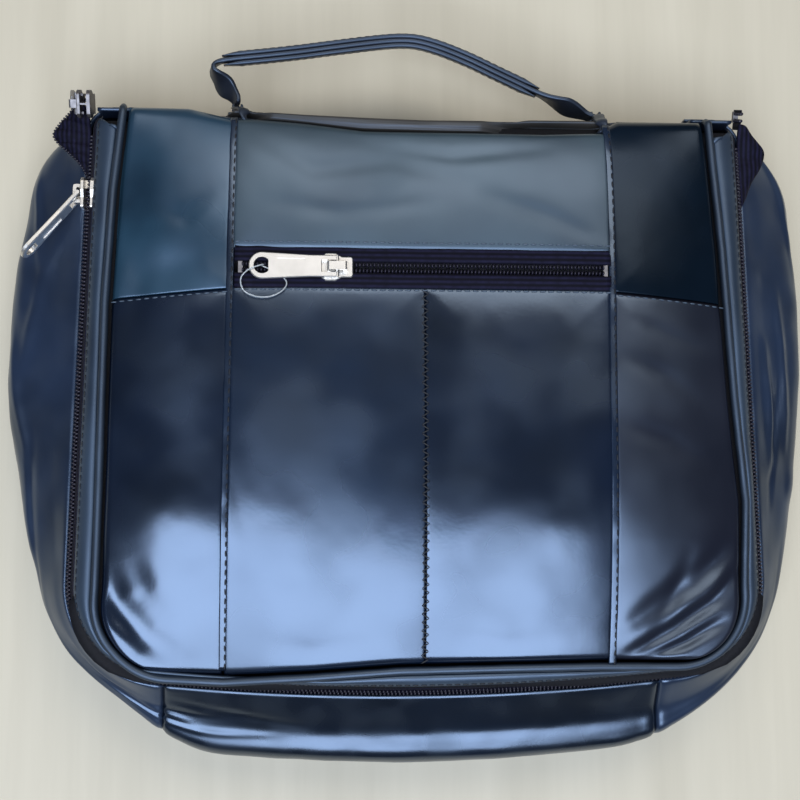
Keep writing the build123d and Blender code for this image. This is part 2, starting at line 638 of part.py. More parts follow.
def zip_tail(side):
    """The end of the main zip, turned down over the top corner: two rows on their tapes."""
    half = TAIL_LENGTH / 2
    solids = []
    for row in (-1, 1):
        y0, y1 = sorted((row * ROW_NEAR, row * ROW_FAR))
        solids.append(block(-half, half, y0, y1, -ROW_T / 2, ROW_T / 2))
        y0, y1 = sorted((row * ROW_FAR, row * (ROW_FAR + TAIL_TAPE_W)))
        solids.append(block(-half, half, y0, y1, -TAPE / 2, TAPE / 2))
    stop = block(half, half + STOP_LENGTH, -ROW_FAR, ROW_FAR, -ROW_T / 2, ROW_T / 2)
    frame = end_frame(side)
    near_side = 0 if frame.y_dir.Y > 0 else 1
    rows = [frame * (solids[0] + solids[1]), frame * (solids[2] + solids[3])]
    rows[near_side] = rows[near_side] + tail_web(side, frame, near_side)
    return Compound(children=[largest(row) for row in rows]), frame * stop


def tail_web(side, frame, near_side):
    """The tape between the straight run's end and the turned-down tail."""
    edge_y = (ROW_FAR + TAIL_TAPE_W) * (1 if near_side else -1)
    tail_end = Plane(origin=frame.from_local_coords(Vector(0, edge_y, 0)),
                     x_dir=frame.z_dir, z_dir=frame.y_dir * (1 if near_side else -1))
    start = Vector(side * zip_run_x(CHAIN_END_Y), CHAIN_END_Y, ZIP_Z - ROW_FAR - TAIL_WEB_W / 2)
    run_end = Plane(origin=start, x_dir=frame.z_dir, z_dir=(0, -1, 0))
    ends = [(plane * Rectangle(TAPE, TAIL_WEB_W)).face().outer_wire() for plane in (tail_end, run_end)]
    return Solid.make_loft(ends, ruled=True)


def make_ends():
    left, left_stop = zip_tail(-1)
    right, right_stop = zip_tail(1)
    frame = end_frame(-1)
    pivot = frame.origin + frame.z_dir * PULL_HEIGHT
    print("end pull pivot", tuple(pivot), "axis", tuple(frame.y_dir))
    return {
        "zip_tail_left": left,
        "zip_tail_right": right,
        "main_zip_stops": Compound(children=[left_stop, right_stop]),
        "end_slider": frame * slider_body((-1, 1)),
        "end_pull": hung_pull(frame, END_PULL_ANGLE),
    }


def make_pocket_slider():
    origin = (POCKET_SLIDER_X, POCKET_ZIP_Y, POCKET_CHAIN_Z)
    frame = Plane(origin=origin, x_dir=(1, 0, 0), z_dir=(0, 0, 1))
    pivot = (POCKET_SLIDER_X, POCKET_ZIP_Y, POCKET_CHAIN_Z + PULL_HEIGHT)
    print("pocket pull pivot", pivot)
    return {"pocket_slider": frame * slider_body((-1, 1)), "pocket_pull": hung_pull(frame, 0.0)}


def make_tag_loop():
    """A loop of clear filament: up through the pull's hole, round its tip and back under it."""
    hole = Vector(POCKET_SLIDER_X - PULL_LENGTH + PULL_HOLE_EDGE + PULL_HOLE_R, POCKET_ZIP_Y,
                  POCKET_CHAIN_Z + PULL_HEIGHT)
    points = [hole + Vector(*step) for step in LOOP_STEPS]
    path = FilletPolyline(*points, radius=LOOP_RADII).wire()
    section = Plane(origin=path @ 0, z_dir=path % 0) * Circle(LOOP_R)
    return {"tag_loop": Solid.sweep(section.face(), path)}


def make_fold_strip():
    """The leather of the fold, on the axis that the lid turns about."""
    y0 = LID_TOP_Y + FOLD_LID_GAP
    y1 = TOP_PANEL_EDGE_Y + LEATHER
    z0 = HINGE_Z - TOP_PANEL_RIM_GAP + LAYER_GAP
    print("lid hinge", HINGE_Y, HINGE_Z)
    return {"fold_strip": block(-TOP_PANEL_HALF, TOP_PANEL_HALF, y0, y1, z0, z0 + FOLD_T)}


def strap_layer(near, far, start_x=-FAR, end_x=FAR):
    """A layer of the strap, between two distances to the side of its middle line."""
    path = FilletPolyline(*HANDLE_POINTS, radius=HANDLE_RADII)
    middle = (near + far) / 2
    start, heading = path @ 0, path % 0
    side = Vector(heading.Y, -heading.X, 0) * -1
    section = Plane(origin=start + side * middle, x_dir=side, z_dir=heading) \
        * Rectangle(far - near, STRAP_W)
    layer = Pos(0, 0, HANDLE_Z) * Solid.sweep(section.face(), path.wire())
    return layer & block(start_x, end_x, -FAR, FAR)


def strap_shape():
    """Side view of the strap: narrow, round ends at the pivots and full width beyond."""
    neck, full = NECK_W / 2, STRAP_W / 2
    y0 = HANDLE_PIVOT_Y
    area = make_face(Polyline((0, y0, -neck), (0, y0 + NECK_END, -neck),
                              (0, y0 + NECK_END + NECK_SPREAD, -full), (0, FAR, -full),
                              (0, FAR, full), (0, y0 + NECK_END + NECK_SPREAD, full),
                              (0, y0 + NECK_END, neck), (0, y0, neck), close=True).edges())
    return Pos(0, 0, HANDLE_Z) * extrude(area, amount=FAR, dir=(1, 0, 0), both=True)


def make_handle():
    half = STRAP_T / 2
    shape = strap_shape()
    strap = strap_layer(-half, half) & shape
    neck = NECK_W / 2
    for x in (HANDLE_ROOT_LEFT, HANDLE_ROOT_RIGHT):
        end = Pos(x, HANDLE_PIVOT_Y, HANDLE_Z) * Rot(0, 90, 0) * Cylinder(neck, STRAP_T)
        strap = strap + end
    near = half + HAIR
    outer = strap_layer(near, near + PAD_T, PAD_START_X, PAD_END_X) & shape
    inner = strap_layer(-near - PAD_T, -near, PAD_START_X, PAD_END_X) & shape
    upper_side = block(-FAR, FAR, HANDLE_PIVOT_Y + NECK_END, FAR)
    parts = {
        "handle_strap": largest(strap),
        "handle_pad_outer": largest(outer & upper_side),
        "handle_pad_inner": largest(inner & upper_side),
    }
    wall = TOP_PANEL_BULGE_Y + HAIR
    front = HANDLE_PIVOT_Y + TAB_REACH
    for x, name in ((HANDLE_ROOT_LEFT, "handle_tab_left"), (HANDLE_ROOT_RIGHT, "handle_tab_right")):
        width = STRAP_T / 2 + TAB_GAP
        low, high = HANDLE_Z - TAB_HALF_H, HANDLE_Z + TAB_HALF_H
        outer_half = width + TAB_CHEEK
        outside = block(x - outer_half, x + outer_half, wall - TAB_CHEEK, front, low, high)
        slot = block(x - width, x + width, HANDLE_PIVOT_Y - neck - TAB_GAP, FAR)
        parts[name] = (outside - slot) - trimmed_wall()
    return parts


def trimmed_wall():
    """The space of the top panel, with a hair of room."""
    return top_sheet(-HAIR, 2 * LEATHER, HINGE_Z)


def main():
    os.makedirs("parts", exist_ok=True)
    parts = {}
    for make in (make_back, make_gussets, make_top, make_main_chain, make_lid_leather,
                 make_lid_edge, make_lid_inside, make_pocket_zip, make_main_slider,
                 make_ends, make_pocket_slider, make_tag_loop, make_fold_strip, make_handle):
        parts.update(make())
    for name, shape in parts.items():
        export_step(shape, f"parts/{name}.step")
        print(name, round(shape.volume, 1))


main()
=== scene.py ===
import math

import bmesh
import bpy
import numpy as np
from mathutils import Matrix, Vector


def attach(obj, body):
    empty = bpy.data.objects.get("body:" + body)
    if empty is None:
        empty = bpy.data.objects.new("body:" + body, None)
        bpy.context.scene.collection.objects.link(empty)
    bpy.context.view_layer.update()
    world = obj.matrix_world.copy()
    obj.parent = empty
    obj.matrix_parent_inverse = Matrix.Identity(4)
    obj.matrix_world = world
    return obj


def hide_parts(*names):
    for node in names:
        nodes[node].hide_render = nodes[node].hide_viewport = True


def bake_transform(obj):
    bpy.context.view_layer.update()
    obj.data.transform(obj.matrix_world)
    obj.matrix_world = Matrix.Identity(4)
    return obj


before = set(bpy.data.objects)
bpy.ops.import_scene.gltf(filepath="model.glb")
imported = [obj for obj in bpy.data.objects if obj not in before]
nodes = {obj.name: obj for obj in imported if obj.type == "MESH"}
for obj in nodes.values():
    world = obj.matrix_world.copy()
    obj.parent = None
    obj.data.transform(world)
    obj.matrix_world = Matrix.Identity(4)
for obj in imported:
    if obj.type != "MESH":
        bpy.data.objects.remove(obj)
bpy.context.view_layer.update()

# Toiletry bag of patchwork leather, lying on its back. Shapes are worked out in millimetres:
# X runs across the bag, Y towards the handle and Z out of the lid.
MM = 0.001
SIDES = ((-1, "left"), (1, "right"))
UP = (0, 0, 1)
DOWN = (0, 0, -1)
HANDLE_WARD = (0, 1, 0)

# ---------------------------------------------------------------- materials


def linear(hex_colour):
    """An sRGB hex colour as the linear colour that a shader takes."""
    shares = [int(hex_colour[i:i + 2], 16) / 255 for i in (1, 3, 5)]
    return tuple(s / 12.92 if s <= 0.04045 else ((s + 0.055) / 1.055) ** 2.4 for s in shares) + (1.0,)


def fill(node, inputs):
    """Gives each of these inputs a value or a link."""
    for key, value in inputs.items():
        if isinstance(value, bpy.types.NodeSocket):
            node.id_data.links.new(value, node.inputs[key])
        else:
            node.inputs[key].default_value = value


def add(tree, kind, inputs=None, **settings):
    """Adds a node with its settings and inputs."""
    node = tree.nodes.new(kind)
    for key, value in settings.items():
        setattr(node, key, value)
    fill(node, inputs or {})
    return node


def new_material(name):
    material = bpy.data.materials.new(name)
    material.use_nodes = True
    tree = material.node_tree
    return material, tree, tree.nodes["Principled BSDF"]


def per_metre(size_mm):
    """The scale of a pattern whose cells are that many millimetres across."""
    return 1000.0 / size_mm


def two_tone(tree, share, dark, light, start=0.3, end=0.7):
    """A colour between two, spread over part of a pattern's range."""
    ramp = add(tree, "ShaderNodeValToRGB", {"Fac": share})
    ramp.color_ramp.elements[0].position = start
    ramp.color_ramp.elements[0].color = linear(dark)
    ramp.color_ramp.elements[1].position = end
    ramp.color_ramp.elements[1].color = linear(light)
    return ramp.outputs["Color"]


def noise(tree, place, size_mm, detail, **more):
    """Soft blotches, about that many millimetres across."""
    inputs = {"Vector": place, "Scale": per_metre(size_mm), "Detail": detail, **more}
    return add(tree, "ShaderNodeTexNoise", inputs).outputs["Fac"]


def relief(tree, height, strength, depth_mm, below=None):
    """A bump of that depth, over the one below it."""
    inputs = {"Height": height, "Strength": strength, "Distance": depth_mm * MM}
    if below:
        inputs["Normal"] = below
    return add(tree, "ShaderNodeBump", inputs).outputs["Normal"]


def finished_leather(name, dark, light, roughness, gloss, grain_mm, crease_mm):
    """Drum-dyed cow leather with a pigmented, polished top coat: it shows soft, wide reflections,
    a fine pebble that breaks them up, slow changes of dye and a few stretched creases."""
    material, tree, shader = new_material(name)
    place = add(tree, "ShaderNodeTexCoord").outputs["Object"]
    dye = noise(tree, place, 38.0, 3.0)
    stretched = noise(tree, place, crease_mm, 1.0, Roughness=0.4, Distortion=0.2)
    pebble = add(tree, "ShaderNodeTexVoronoi", {"Vector": place, "Scale": per_metre(grain_mm),
                                                "Randomness": 0.95}, feature="SMOOTH_F1")
    worn = add(tree, "ShaderNodeMapRange", {"Value": stretched, "From Min": 0.3, "From Max": 0.75,
                                            "To Min": roughness - 0.04, "To Max": roughness + 0.06},
               interpolation_type="SMOOTHERSTEP")
    folds = relief(tree, stretched, 0.22, 0.4)
    grain = relief(tree, pebble.outputs["Distance"], 0.14, 0.05, folds)
    skin = relief(tree, noise(tree, place, 0.7, 2.0), 0.2, 0.02, grain)
    fill(shader, {"Base Color": two_tone(tree, dye, dark, light), "IOR": 1.6,
                  "Roughness": worn.outputs["Result"], "Normal": skin,
                  "Specular IOR Level": gloss, "Specular Tint": linear("#c3ddff")})
    return material


def woven_tape(name, dark, light, rib_mm=0.9):
    """Polyester zip tape, a fine twill: it is matt, with thin ribs and a purple cast."""
    material, tree, shader = new_material(name)
    place = add(tree, "ShaderNodeTexCoord").outputs["UV"]
    ribs = add(tree, "ShaderNodeTexWave", {"Vector": place, "Scale": per_metre(rib_mm) / 6.28,
                                           "Distortion": 0.4}, bands_direction="Y")
    fluff = noise(tree, place, 2.5, 3.0)
    blend = add(tree, "ShaderNodeMath", {0: ribs.outputs["Fac"], 1: fluff}, operation="MULTIPLY")
    fill(shader, {"Base Color": two_tone(tree, blend.outputs["Value"], dark, light, 0.05, 0.6),
                  "Normal": relief(tree, ribs.outputs["Fac"], 0.6, 0.15), "Roughness": 0.7,
                  "Specular IOR Level": 0.1, "Sheen Weight": 0.02, "Sheen Roughness": 0.5})
    return material


def smooth_stuff(name, dark, light, roughness, cell_mm, depth_mm, **sockets):
    """A material with a quiet mottled colour and a bump of one grain size."""
    material, tree, shader = new_material(name)
    place = add(tree, "ShaderNodeTexCoord").outputs["Object"]
    mottle = noise(tree, place, cell_mm, 4.0)
    fill(shader, {"Base Color": two_tone(tree, mottle, dark, light),
                  "Normal": relief(tree, mottle, 0.5, depth_mm), "Roughness": roughness})
    fill(shader, {key.replace("_", " "): value for key, value in sockets.items()})
    return material


(NAVY, NAVY_DEEP, NAVY_UPPER, GREEN_BLACK, SLATE_PAINTED_REFLECTION, PLUM,
 GUSSET, GUSSET_LOW, BAND, FOLD, PIPING, STRAP) = (
    finished_leather("leather_" + name, *look) for name, *look in (
        # dark and light colour, roughness, gloss, grain and creases in mm; in some rows the colour holds
        # painted light, as marked
        ("navy_polished", "#060b16", "#0c192c", 0.25, 1.0, 1.3, 26.0),
        ("deep_navy_polished", "#040812", "#081224", 0.225, 1.0, 1.3, 26.0),
        # lighter blue slate for the lid's upper left patch: part of this colour is a painted reflection of
        # the ceiling
        ("blue_slate_painted_reflection", "#132735", "#234052", 0.3, 1.0, 1.3, 26.0),
        ("green_black_polished", "#040c14", "#0a1622", 0.25, 0.25, 1.3, 26.0),
        # lighter greenish grey for the lid's upper middle patch: part of this colour is a painted
        # reflection of the ceiling
        ("slate_polished", "#1a262b", "#303f44", 0.4, 1.0, 1.3, 26.0),
        ("plum_black_polished", "#0b0a12", "#15141d", 0.32, 1.0, 1.3, 26.0),
        # the gusset leather, lightened: part of this colour is a painted sheen
        ("gusset_navy_painted_sheen", "#121a28", "#202c41", 0.32, 1.0, 1.3, 14.0),
        # a darker copy of the gusset leather for the bottom gusset: painted shade
        ("bottom_navy_painted_shade", "#03060c", "#08101c", 0.27, 1.0, 1.3, 14.0),
        ("band_slate_polished", "#141d29", "#273442", 0.46, 1.0, 1.0, 26.0),
        # grey-brown for the fold and the panel under the handle: a painted sheen of that lit panel
        ("fold_grey_painted_sheen", "#2b2a27", "#45413c", 0.48, 0.5, 1.0, 26.0),
        ("piping_polished", "#080d14", "#111a23", 0.5, 1.0, 1.0, 26.0),
        ("strap_polished", "#11141c", "#20242e", 0.45, 0.65, 1.0, 26.0),
    ))
TAPE = woven_tape("polyester_zip_tape_woven", "#070713", "#191930", 0.95)
COIL = smooth_stuff("nylon_coil_extruded", "#0f0d1b", "#1b182b", 0.42, 1.2, 0.03)
THREAD_DARK = smooth_stuff("polyester_thread_dark", "#05070c", "#0d131c", 0.55, 0.5, 0.05)
# a paler copy of the dark thread: its colour is a painted sheen on the stitches
THREAD_PAINTED_SHEEN = smooth_stuff("polyester_thread_painted_sheen", "#33404f", "#526273", 0.5, 0.5, 0.05)
LINING = smooth_stuff("nylon_lining_woven", "#0b0c10", "#14151b", 0.75, 0.8, 0.06, Specular_IOR_Level=0.25)
FOAM = smooth_stuff("foam_polyether_cut", "#2b2c30", "#3a3b40", 0.95, 1.5, 0.3)
BOARD = smooth_stuff("fibre_board_pressed", "#4a3d2e", "#5d4e3b", 0.9, 3.0, 0.1)
NICKEL = smooth_stuff("nickel_plate_tumbled", "#dedbd5", "#e9e6e0", 0.38, 5.0, 0.01, Metallic=1.0)
NICKEL_WORN = smooth_stuff("nickel_plate_worn", "#6d6b6e", "#8c8a8c", 0.5, 2.2, 0.02, Metallic=1.0)
CLEAR = smooth_stuff("nylon_filament_drawn", "#c9d0d2", "#e3e8ea", 0.15, 3.0, 0.01,
                     Transmission_Weight=0.55, IOR=1.53)

# ---------------------------------------------------------------- lines round the bag

# half width at the handle end and at the bottom, both end edges, bows, corner radii
ZIP_LINE = (122.5, 128.0, 104.5, -101.0, 0.0, 9.0, 8.0, 30.0)
BELLY_LINE = (149.8, 126.6, 106.0, -128.6, 15.0, 12.0, 30.0, 58.0)
BACK_LINE = (140.5, 116.5, 104.5, -118.5, 14.0, 10.0, 22.0, 48.0)
LID_TOP, LID_BOTTOM, LID_HALF_TOP, LID_HALF_BOTTOM, LID_CORNER = 101.0, -102.0, 109.0, 118.5, 26.0
LID_LINE = (LID_HALF_TOP, LID_HALF_BOTTOM, LID_TOP, LID_BOTTOM, 0.0, 0.0, 0.0, LID_CORNER)
BELLY_Z, LID_Z = 24.0, 60.5
LIP_Z, LIP_OUT = 47.4, 2.8  # the gusset's lip below the zip, and how far it stands outside it
TOP_HALF = 104.0  # half the length of the fold and of the panel under the handle
TOP_PLANE_Y = 104.6  # the plane of that panel
POCKET_ZIP_Y, POCKET_ZIP_Z = 42.0, 69.85
LEATHER, THIN, BACK_THICK = 1.3, 0.5, 1.6  # thickness of leather, of cloth, tape and strips, of the back
STEP = 1.6  # between the columns of a run


def unit(vectors):
    vectors = np.asarray(vectors, float)
    return vectors / np.maximum(np.linalg.norm(vectors, axis=-1, keepdims=True), 1e-9)


def run_length(points):
    """How far each point is along its run."""
    return np.concatenate([[0.0], np.cumsum(np.linalg.norm(np.diff(points, axis=0), axis=1))])


def resampled(points, step):
    """Points along a run, evenly about a step apart, ends kept."""
    points = np.asarray(points, float)
    along = run_length(points)
    count = max(2, int(round(along[-1] / step)) + 1)
    at = np.linspace(0.0, along[-1], count)
    return np.stack([np.interp(at, along, points[:, k]) for k in range(points.shape[1])], axis=1)


def rounded_run(corners, radii):
    """Straight edges between corners, with the inner corners rounded."""
    corners = [np.array(c, float) for c in corners]
    points = [corners[0]]
    for before, corner, after, radius in zip(corners, corners[1:], corners[2:], radii):
        if radius <= 0:
            points.append(corner)
            continue
        a, b = unit(before - corner), unit(after - corner)
        half = 0.5 * math.acos(float(np.clip(a @ b, -1, 1)))
        centre = corner + unit(a + b) * radius / math.sin(half)
        start = corner + a * radius / math.tan(half) - centre
        end = corner + b * radius / math.tan(half) - centre
        turn = math.pi - 2 * half
        for f in np.linspace(0.0, 1.0, 25):
            arc = start * math.sin((1 - f) * turn) + end * math.sin(f * turn)
            points.append(centre + arc / math.sin(turn))
    points.append(corners[-1])
    return np.array(points)


def outline(line, start_half, step=STEP):
    """A line round the bag, from the handle end down the left side, along the bottom and up. It starts
    and ends at start_half from the middle, or at its upper corners where that lies beyond them."""
    half_top, half_bottom, top, bottom, side_bow, bottom_bow, r_top, r_bottom = line
    corners = [(-start_half, top), (-half_top, top), (-half_bottom, bottom),
               (half_bottom, bottom), (half_top, top), (start_half, top)]
    radii = [r_top, r_bottom, r_bottom, r_top]
    if start_half >= half_top:
        corners, radii = corners[1:-1], radii[1:-1]
    run = resampled(rounded_run(corners, radii), step)
    down = np.clip((top - run[:, 1]) / (top - bottom), 0, 1)
    half = half_top + (half_bottom - half_top) * down
    sideways = np.minimum(1, np.abs(run[:, 0]) / half)
    run[:, 0] += np.sign(run[:, 0]) * side_bow * 4 * down * (1 - down) * sideways
    run[:, 1] -= bottom_bow * np.clip(1 - (run[:, 0] / half_bottom) ** 2, 0, 1) * down ** 4
    return run


def outward(run):
    """Unit vectors across a run, away from the bag."""
    along = unit(np.gradient(run, axis=0))
    return np.stack([along[:, 1], -along[:, 0]], axis=1)


def reach(points, directions, border, low=-30.0):
    """How far each point is from a border, along its own direction."""
    a, e = border[:-1], np.diff(border, axis=0)
    found = np.full(len(points), 1e6)
    for start, edge in zip(a, e):
        det = directions[:, 0] * edge[1] - directions[:, 1] * edge[0]
        det = np.where(np.abs(det) < 1e-9, 1e-9, det)
        gap = start - points
        t = (gap[:, 0] * edge[1] - gap[:, 1] * edge[0]) / det
        s = (gap[:, 0] * directions[:, 1] - gap[:, 1] * directions[:, 0]) / det
        hit = (s >= -1e-6) & (s <= 1 + 1e-6) & (t > low)
        found = np.where(hit & (t < found), t, found)
    return found


def grown(line, amount):
    half_top, half_bottom, top, bottom, side_bow, bottom_bow, r_top, r_bottom = line
    return (half_top + amount, half_bottom + amount, top + amount, bottom - amount, side_bow, bottom_bow,
            r_top + amount if r_top else 0.0, r_bottom + amount)


def ripple(x, y, cell, seed):
    """A smooth random height between -1 and 1, with swells about a cell across."""
    cells = np.random.RandomState(seed).uniform(-1, 1, (64, 64))
    u, v = np.asarray(x, float) / cell + 17.3, np.asarray(y, float) / cell + 23.7
    i, j = np.floor(u).astype(int), np.floor(v).astype(int)
    fu, fv = u - i, v - j
    fu, fv = fu * fu * (3 - 2 * fu), fv * fv * (3 - 2 * fv)
    i0, j0, i1, j1 = i % 64, j % 64, (i + 1) % 64, (j + 1) % 64
    return ((cells[i0, j0] * (1 - fu) + cells[i1, j0] * fu) * (1 - fv)
            + (cells[i0, j1] * (1 - fu) + cells[i1, j1] * fu) * fv)


def crease(x, y, run, width, depth):
    """A soft groove, or a ridge where depth is negative, along a run of points."""
    run = np.asarray(run, float)
    lift = np.zeros_like(np.asarray(x, float))
    total = len(run) - 1
    for k, (a, b) in enumerate(zip(run, run[1:])):
        edge = b - a
        share = np.clip(((x - a[0]) * edge[0] + (y - a[1]) * edge[1]) / (edge @ edge), 0, 1)
        off = np.hypot(x - a[0] - share * edge[0], y - a[1] - share * edge[1])
        along = (k + share) / total
        fade = np.sin(np.pi * np.clip(0.08 + 0.84 * along, 0, 1))
        lift = np.maximum(lift, np.exp(-(off / width) ** 2) * fade)
    return -depth * lift


# ---------------------------------------------------------------- building pieces


def settle(piece, body, node=None):
    """Hides the CAD node that a piece stands for and hangs the piece on the body it rides on."""
    if node:
        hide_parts(node)
    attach(piece, body)
    return piece


def linked(name, data):
    made = bpy.data.objects.new(name, data)
    bpy.context.scene.collection.objects.link(made)
    return made


def make_piece(name, points, faces, material, uv=None):
    """A mesh piece from points in millimetres."""
    mesh = bpy.data.meshes.new(name)
    mesh.from_pydata((np.asarray(points, float) * MM).tolist(), [], faces)
    mesh.materials.append(material)
    if uv is not None:
        layer = mesh.uv_layers.new(name="run")
        order = np.empty(len(mesh.loops), int)
        mesh.loops.foreach_get("vertex_index", order)
        layer.data.foreach_set("uv", (np.asarray(uv, float)[order] * MM).ravel())
    mesh.shade_smooth()
    return linked(name, mesh)


def grid_of(x, y, z):
    """A grid of points, rows by columns, from values that spread over it."""
    return np.stack(np.broadcast_arrays(x, y, z), axis=2).astype(float)


def grid_normals(grid):
    across, along = np.gradient(grid, axis=1), np.gradient(grid, axis=0)
    return unit(np.cross(across, along))


def grid_faces(rows, columns, start=0, flip=False, closed=False):
    faces = []
    for i in range(rows - 1):
        for j in range(columns if closed else columns - 1):
            k = (j + 1) % columns
            face = [start + i * columns + j, start + i * columns + k,
                    start + (i + 1) * columns + k, start + (i + 1) * columns + j]
            faces.append(face[::-1] if flip else face)
    return faces


def rim_edges(rows, columns):
    """The edges round a grid, from its first point along the first row."""
    rim = list(range(columns)) + [i * columns + columns - 1 for i in range(1, rows)]
    rim += [(rows - 1) * columns + j for j in range(columns - 2, -1, -1)]
    rim += [i * columns for i in range(rows - 2, 0, -1)]
    return zip(rim, rim[1:] + rim[:1])


def grid_uv(grid):
    """How far each point is along its grid's middle row and across from its first row."""
    along = run_length(grid[grid.shape[0] // 2])
    across = np.concatenate([np.zeros((1, grid.shape[1])),
                             np.cumsum(np.linalg.norm(np.diff(grid, axis=0), axis=2), axis=0)])
    return np.stack([np.broadcast_to(along, across.shape), across], axis=2).reshape(-1, 2)


def leather_sheet(name, grid, thickness, material, outer_up=True):
    """A closed sheet whose outer face is a grid of points, rows by columns."""
    rows, columns = grid.shape[:2]
    normals = grid_normals(grid) * (1 if outer_up else -1)
    inner = grid - normals * thickness
    points = np.concatenate([grid.reshape(-1, 3), inner.reshape(-1, 3)])
    count = rows * columns
    faces = grid_faces(rows, columns, 0, flip=not outer_up)
    faces += grid_faces(rows, columns, count, flip=outer_up)
    for a, b in rim_edges(rows, columns):
        face = [b, a, a + count, b + count]
        faces.append(face if outer_up else face[::-1])
    uv = grid_uv(grid)
    return make_piece(name, points, faces, material, np.concatenate([uv, uv]))


def looks_along(grid, direction):
    """Whether a grid's own normal at its middle points along a direction."""
    middle = grid_normals(grid)[grid.shape[0] // 2, grid.shape[1] // 2]
    return bool(middle @ np.asarray(direction, float) > 0)


def laid_sheet(name, grid, thickness, material, facing, body, node=None):
    """A sheet with its outer face towards a direction, settled on its body."""
    piece = leather_sheet(name, grid, thickness, material, looks_along(grid, facing))
    return settle(piece, body, node)


def closed_rings(name, rings, ends, material):
    """A skin over rings of points, closed with a point at each end."""
    count, sides = rings.shape[:2]
    faces = grid_faces(count, sides, closed=True)
    first, last = count * sides, count * sides + 1
    for j in range(sides):
        k = (j + 1) % sides
        faces.append([first, k, j])
        faces.append([last, (count - 1) * sides + j, (count - 1) * sides + k])
    piece = make_piece(name, np.concatenate([rings.reshape(-1, 3), ends]), faces, material)
    mend_normals(piece)
    return piece


def tube(name, path, radii, material, sides=12, closed=False):
    """A round cord along a path, closed with rounded ends where it doesn't join itself."""
    path = np.asarray(path, float)
    if closed:
        along = unit(np.roll(path, -1, axis=0) - np.roll(path, 1, axis=0))
    else:
        along = unit(np.gradient(path, axis=0))
    side = np.cross(along, np.array([0.0, 0.0, 1.0]))
    weak = np.linalg.norm(side, axis=1) < 0.2
    side[weak] = np.cross(along[weak], np.array([1.0, 0.0, 0.0]))
    side = unit(side)
    over = unit(np.cross(side, along))
    radii = np.broadcast_to(np.asarray(radii, float), (len(path),)).copy()
    turns = np.linspace(0, 2 * np.pi, sides, endpoint=False)
    rings = path[:, None] + radii[:, None, None] * (
        np.cos(turns)[None, :, None] * side[:, None] + np.sin(turns)[None, :, None] * over[:, None])
    if closed:
        faces = grid_faces(len(path) + 1, sides, closed=True)
        faces = [[v % (len(path) * sides) for v in face] for face in faces]
        piece = make_piece(name, rings.reshape(-1, 3), faces, material)
        mend_normals(piece)
        return piece
    ends = [path[0] - along[0] * radii[0] * 0.5, path[-1] + along[-1] * radii[-1] * 0.5]
    return closed_rings(name, rings, ends, material)


def mend_normals(piece):
    work = bmesh.new()
    work.from_mesh(piece.data)
    bmesh.ops.remove_doubles(work, verts=work.verts, dist=1e-6)
    bmesh.ops.recalc_face_normals(work, faces=work.faces)
    work.to_mesh(piece.data)
    work.free()
    piece.data.shade_smooth()


def joined(name, pieces):
    """Several pieces of one material as one."""
    work = bmesh.new()
    for piece in pieces:
        work.from_mesh(piece.data)
    mesh = bpy.data.meshes.new(name)
    work.to_mesh(mesh)
    work.free()
    mesh.materials.append(pieces[0].data.materials[0])
    for piece in pieces:
        bpy.data.objects.remove(piece)
    mesh.shade_smooth()
    return linked(name, mesh)


# ---------------------------------------------------------------- sewing and coils by geometry nodes


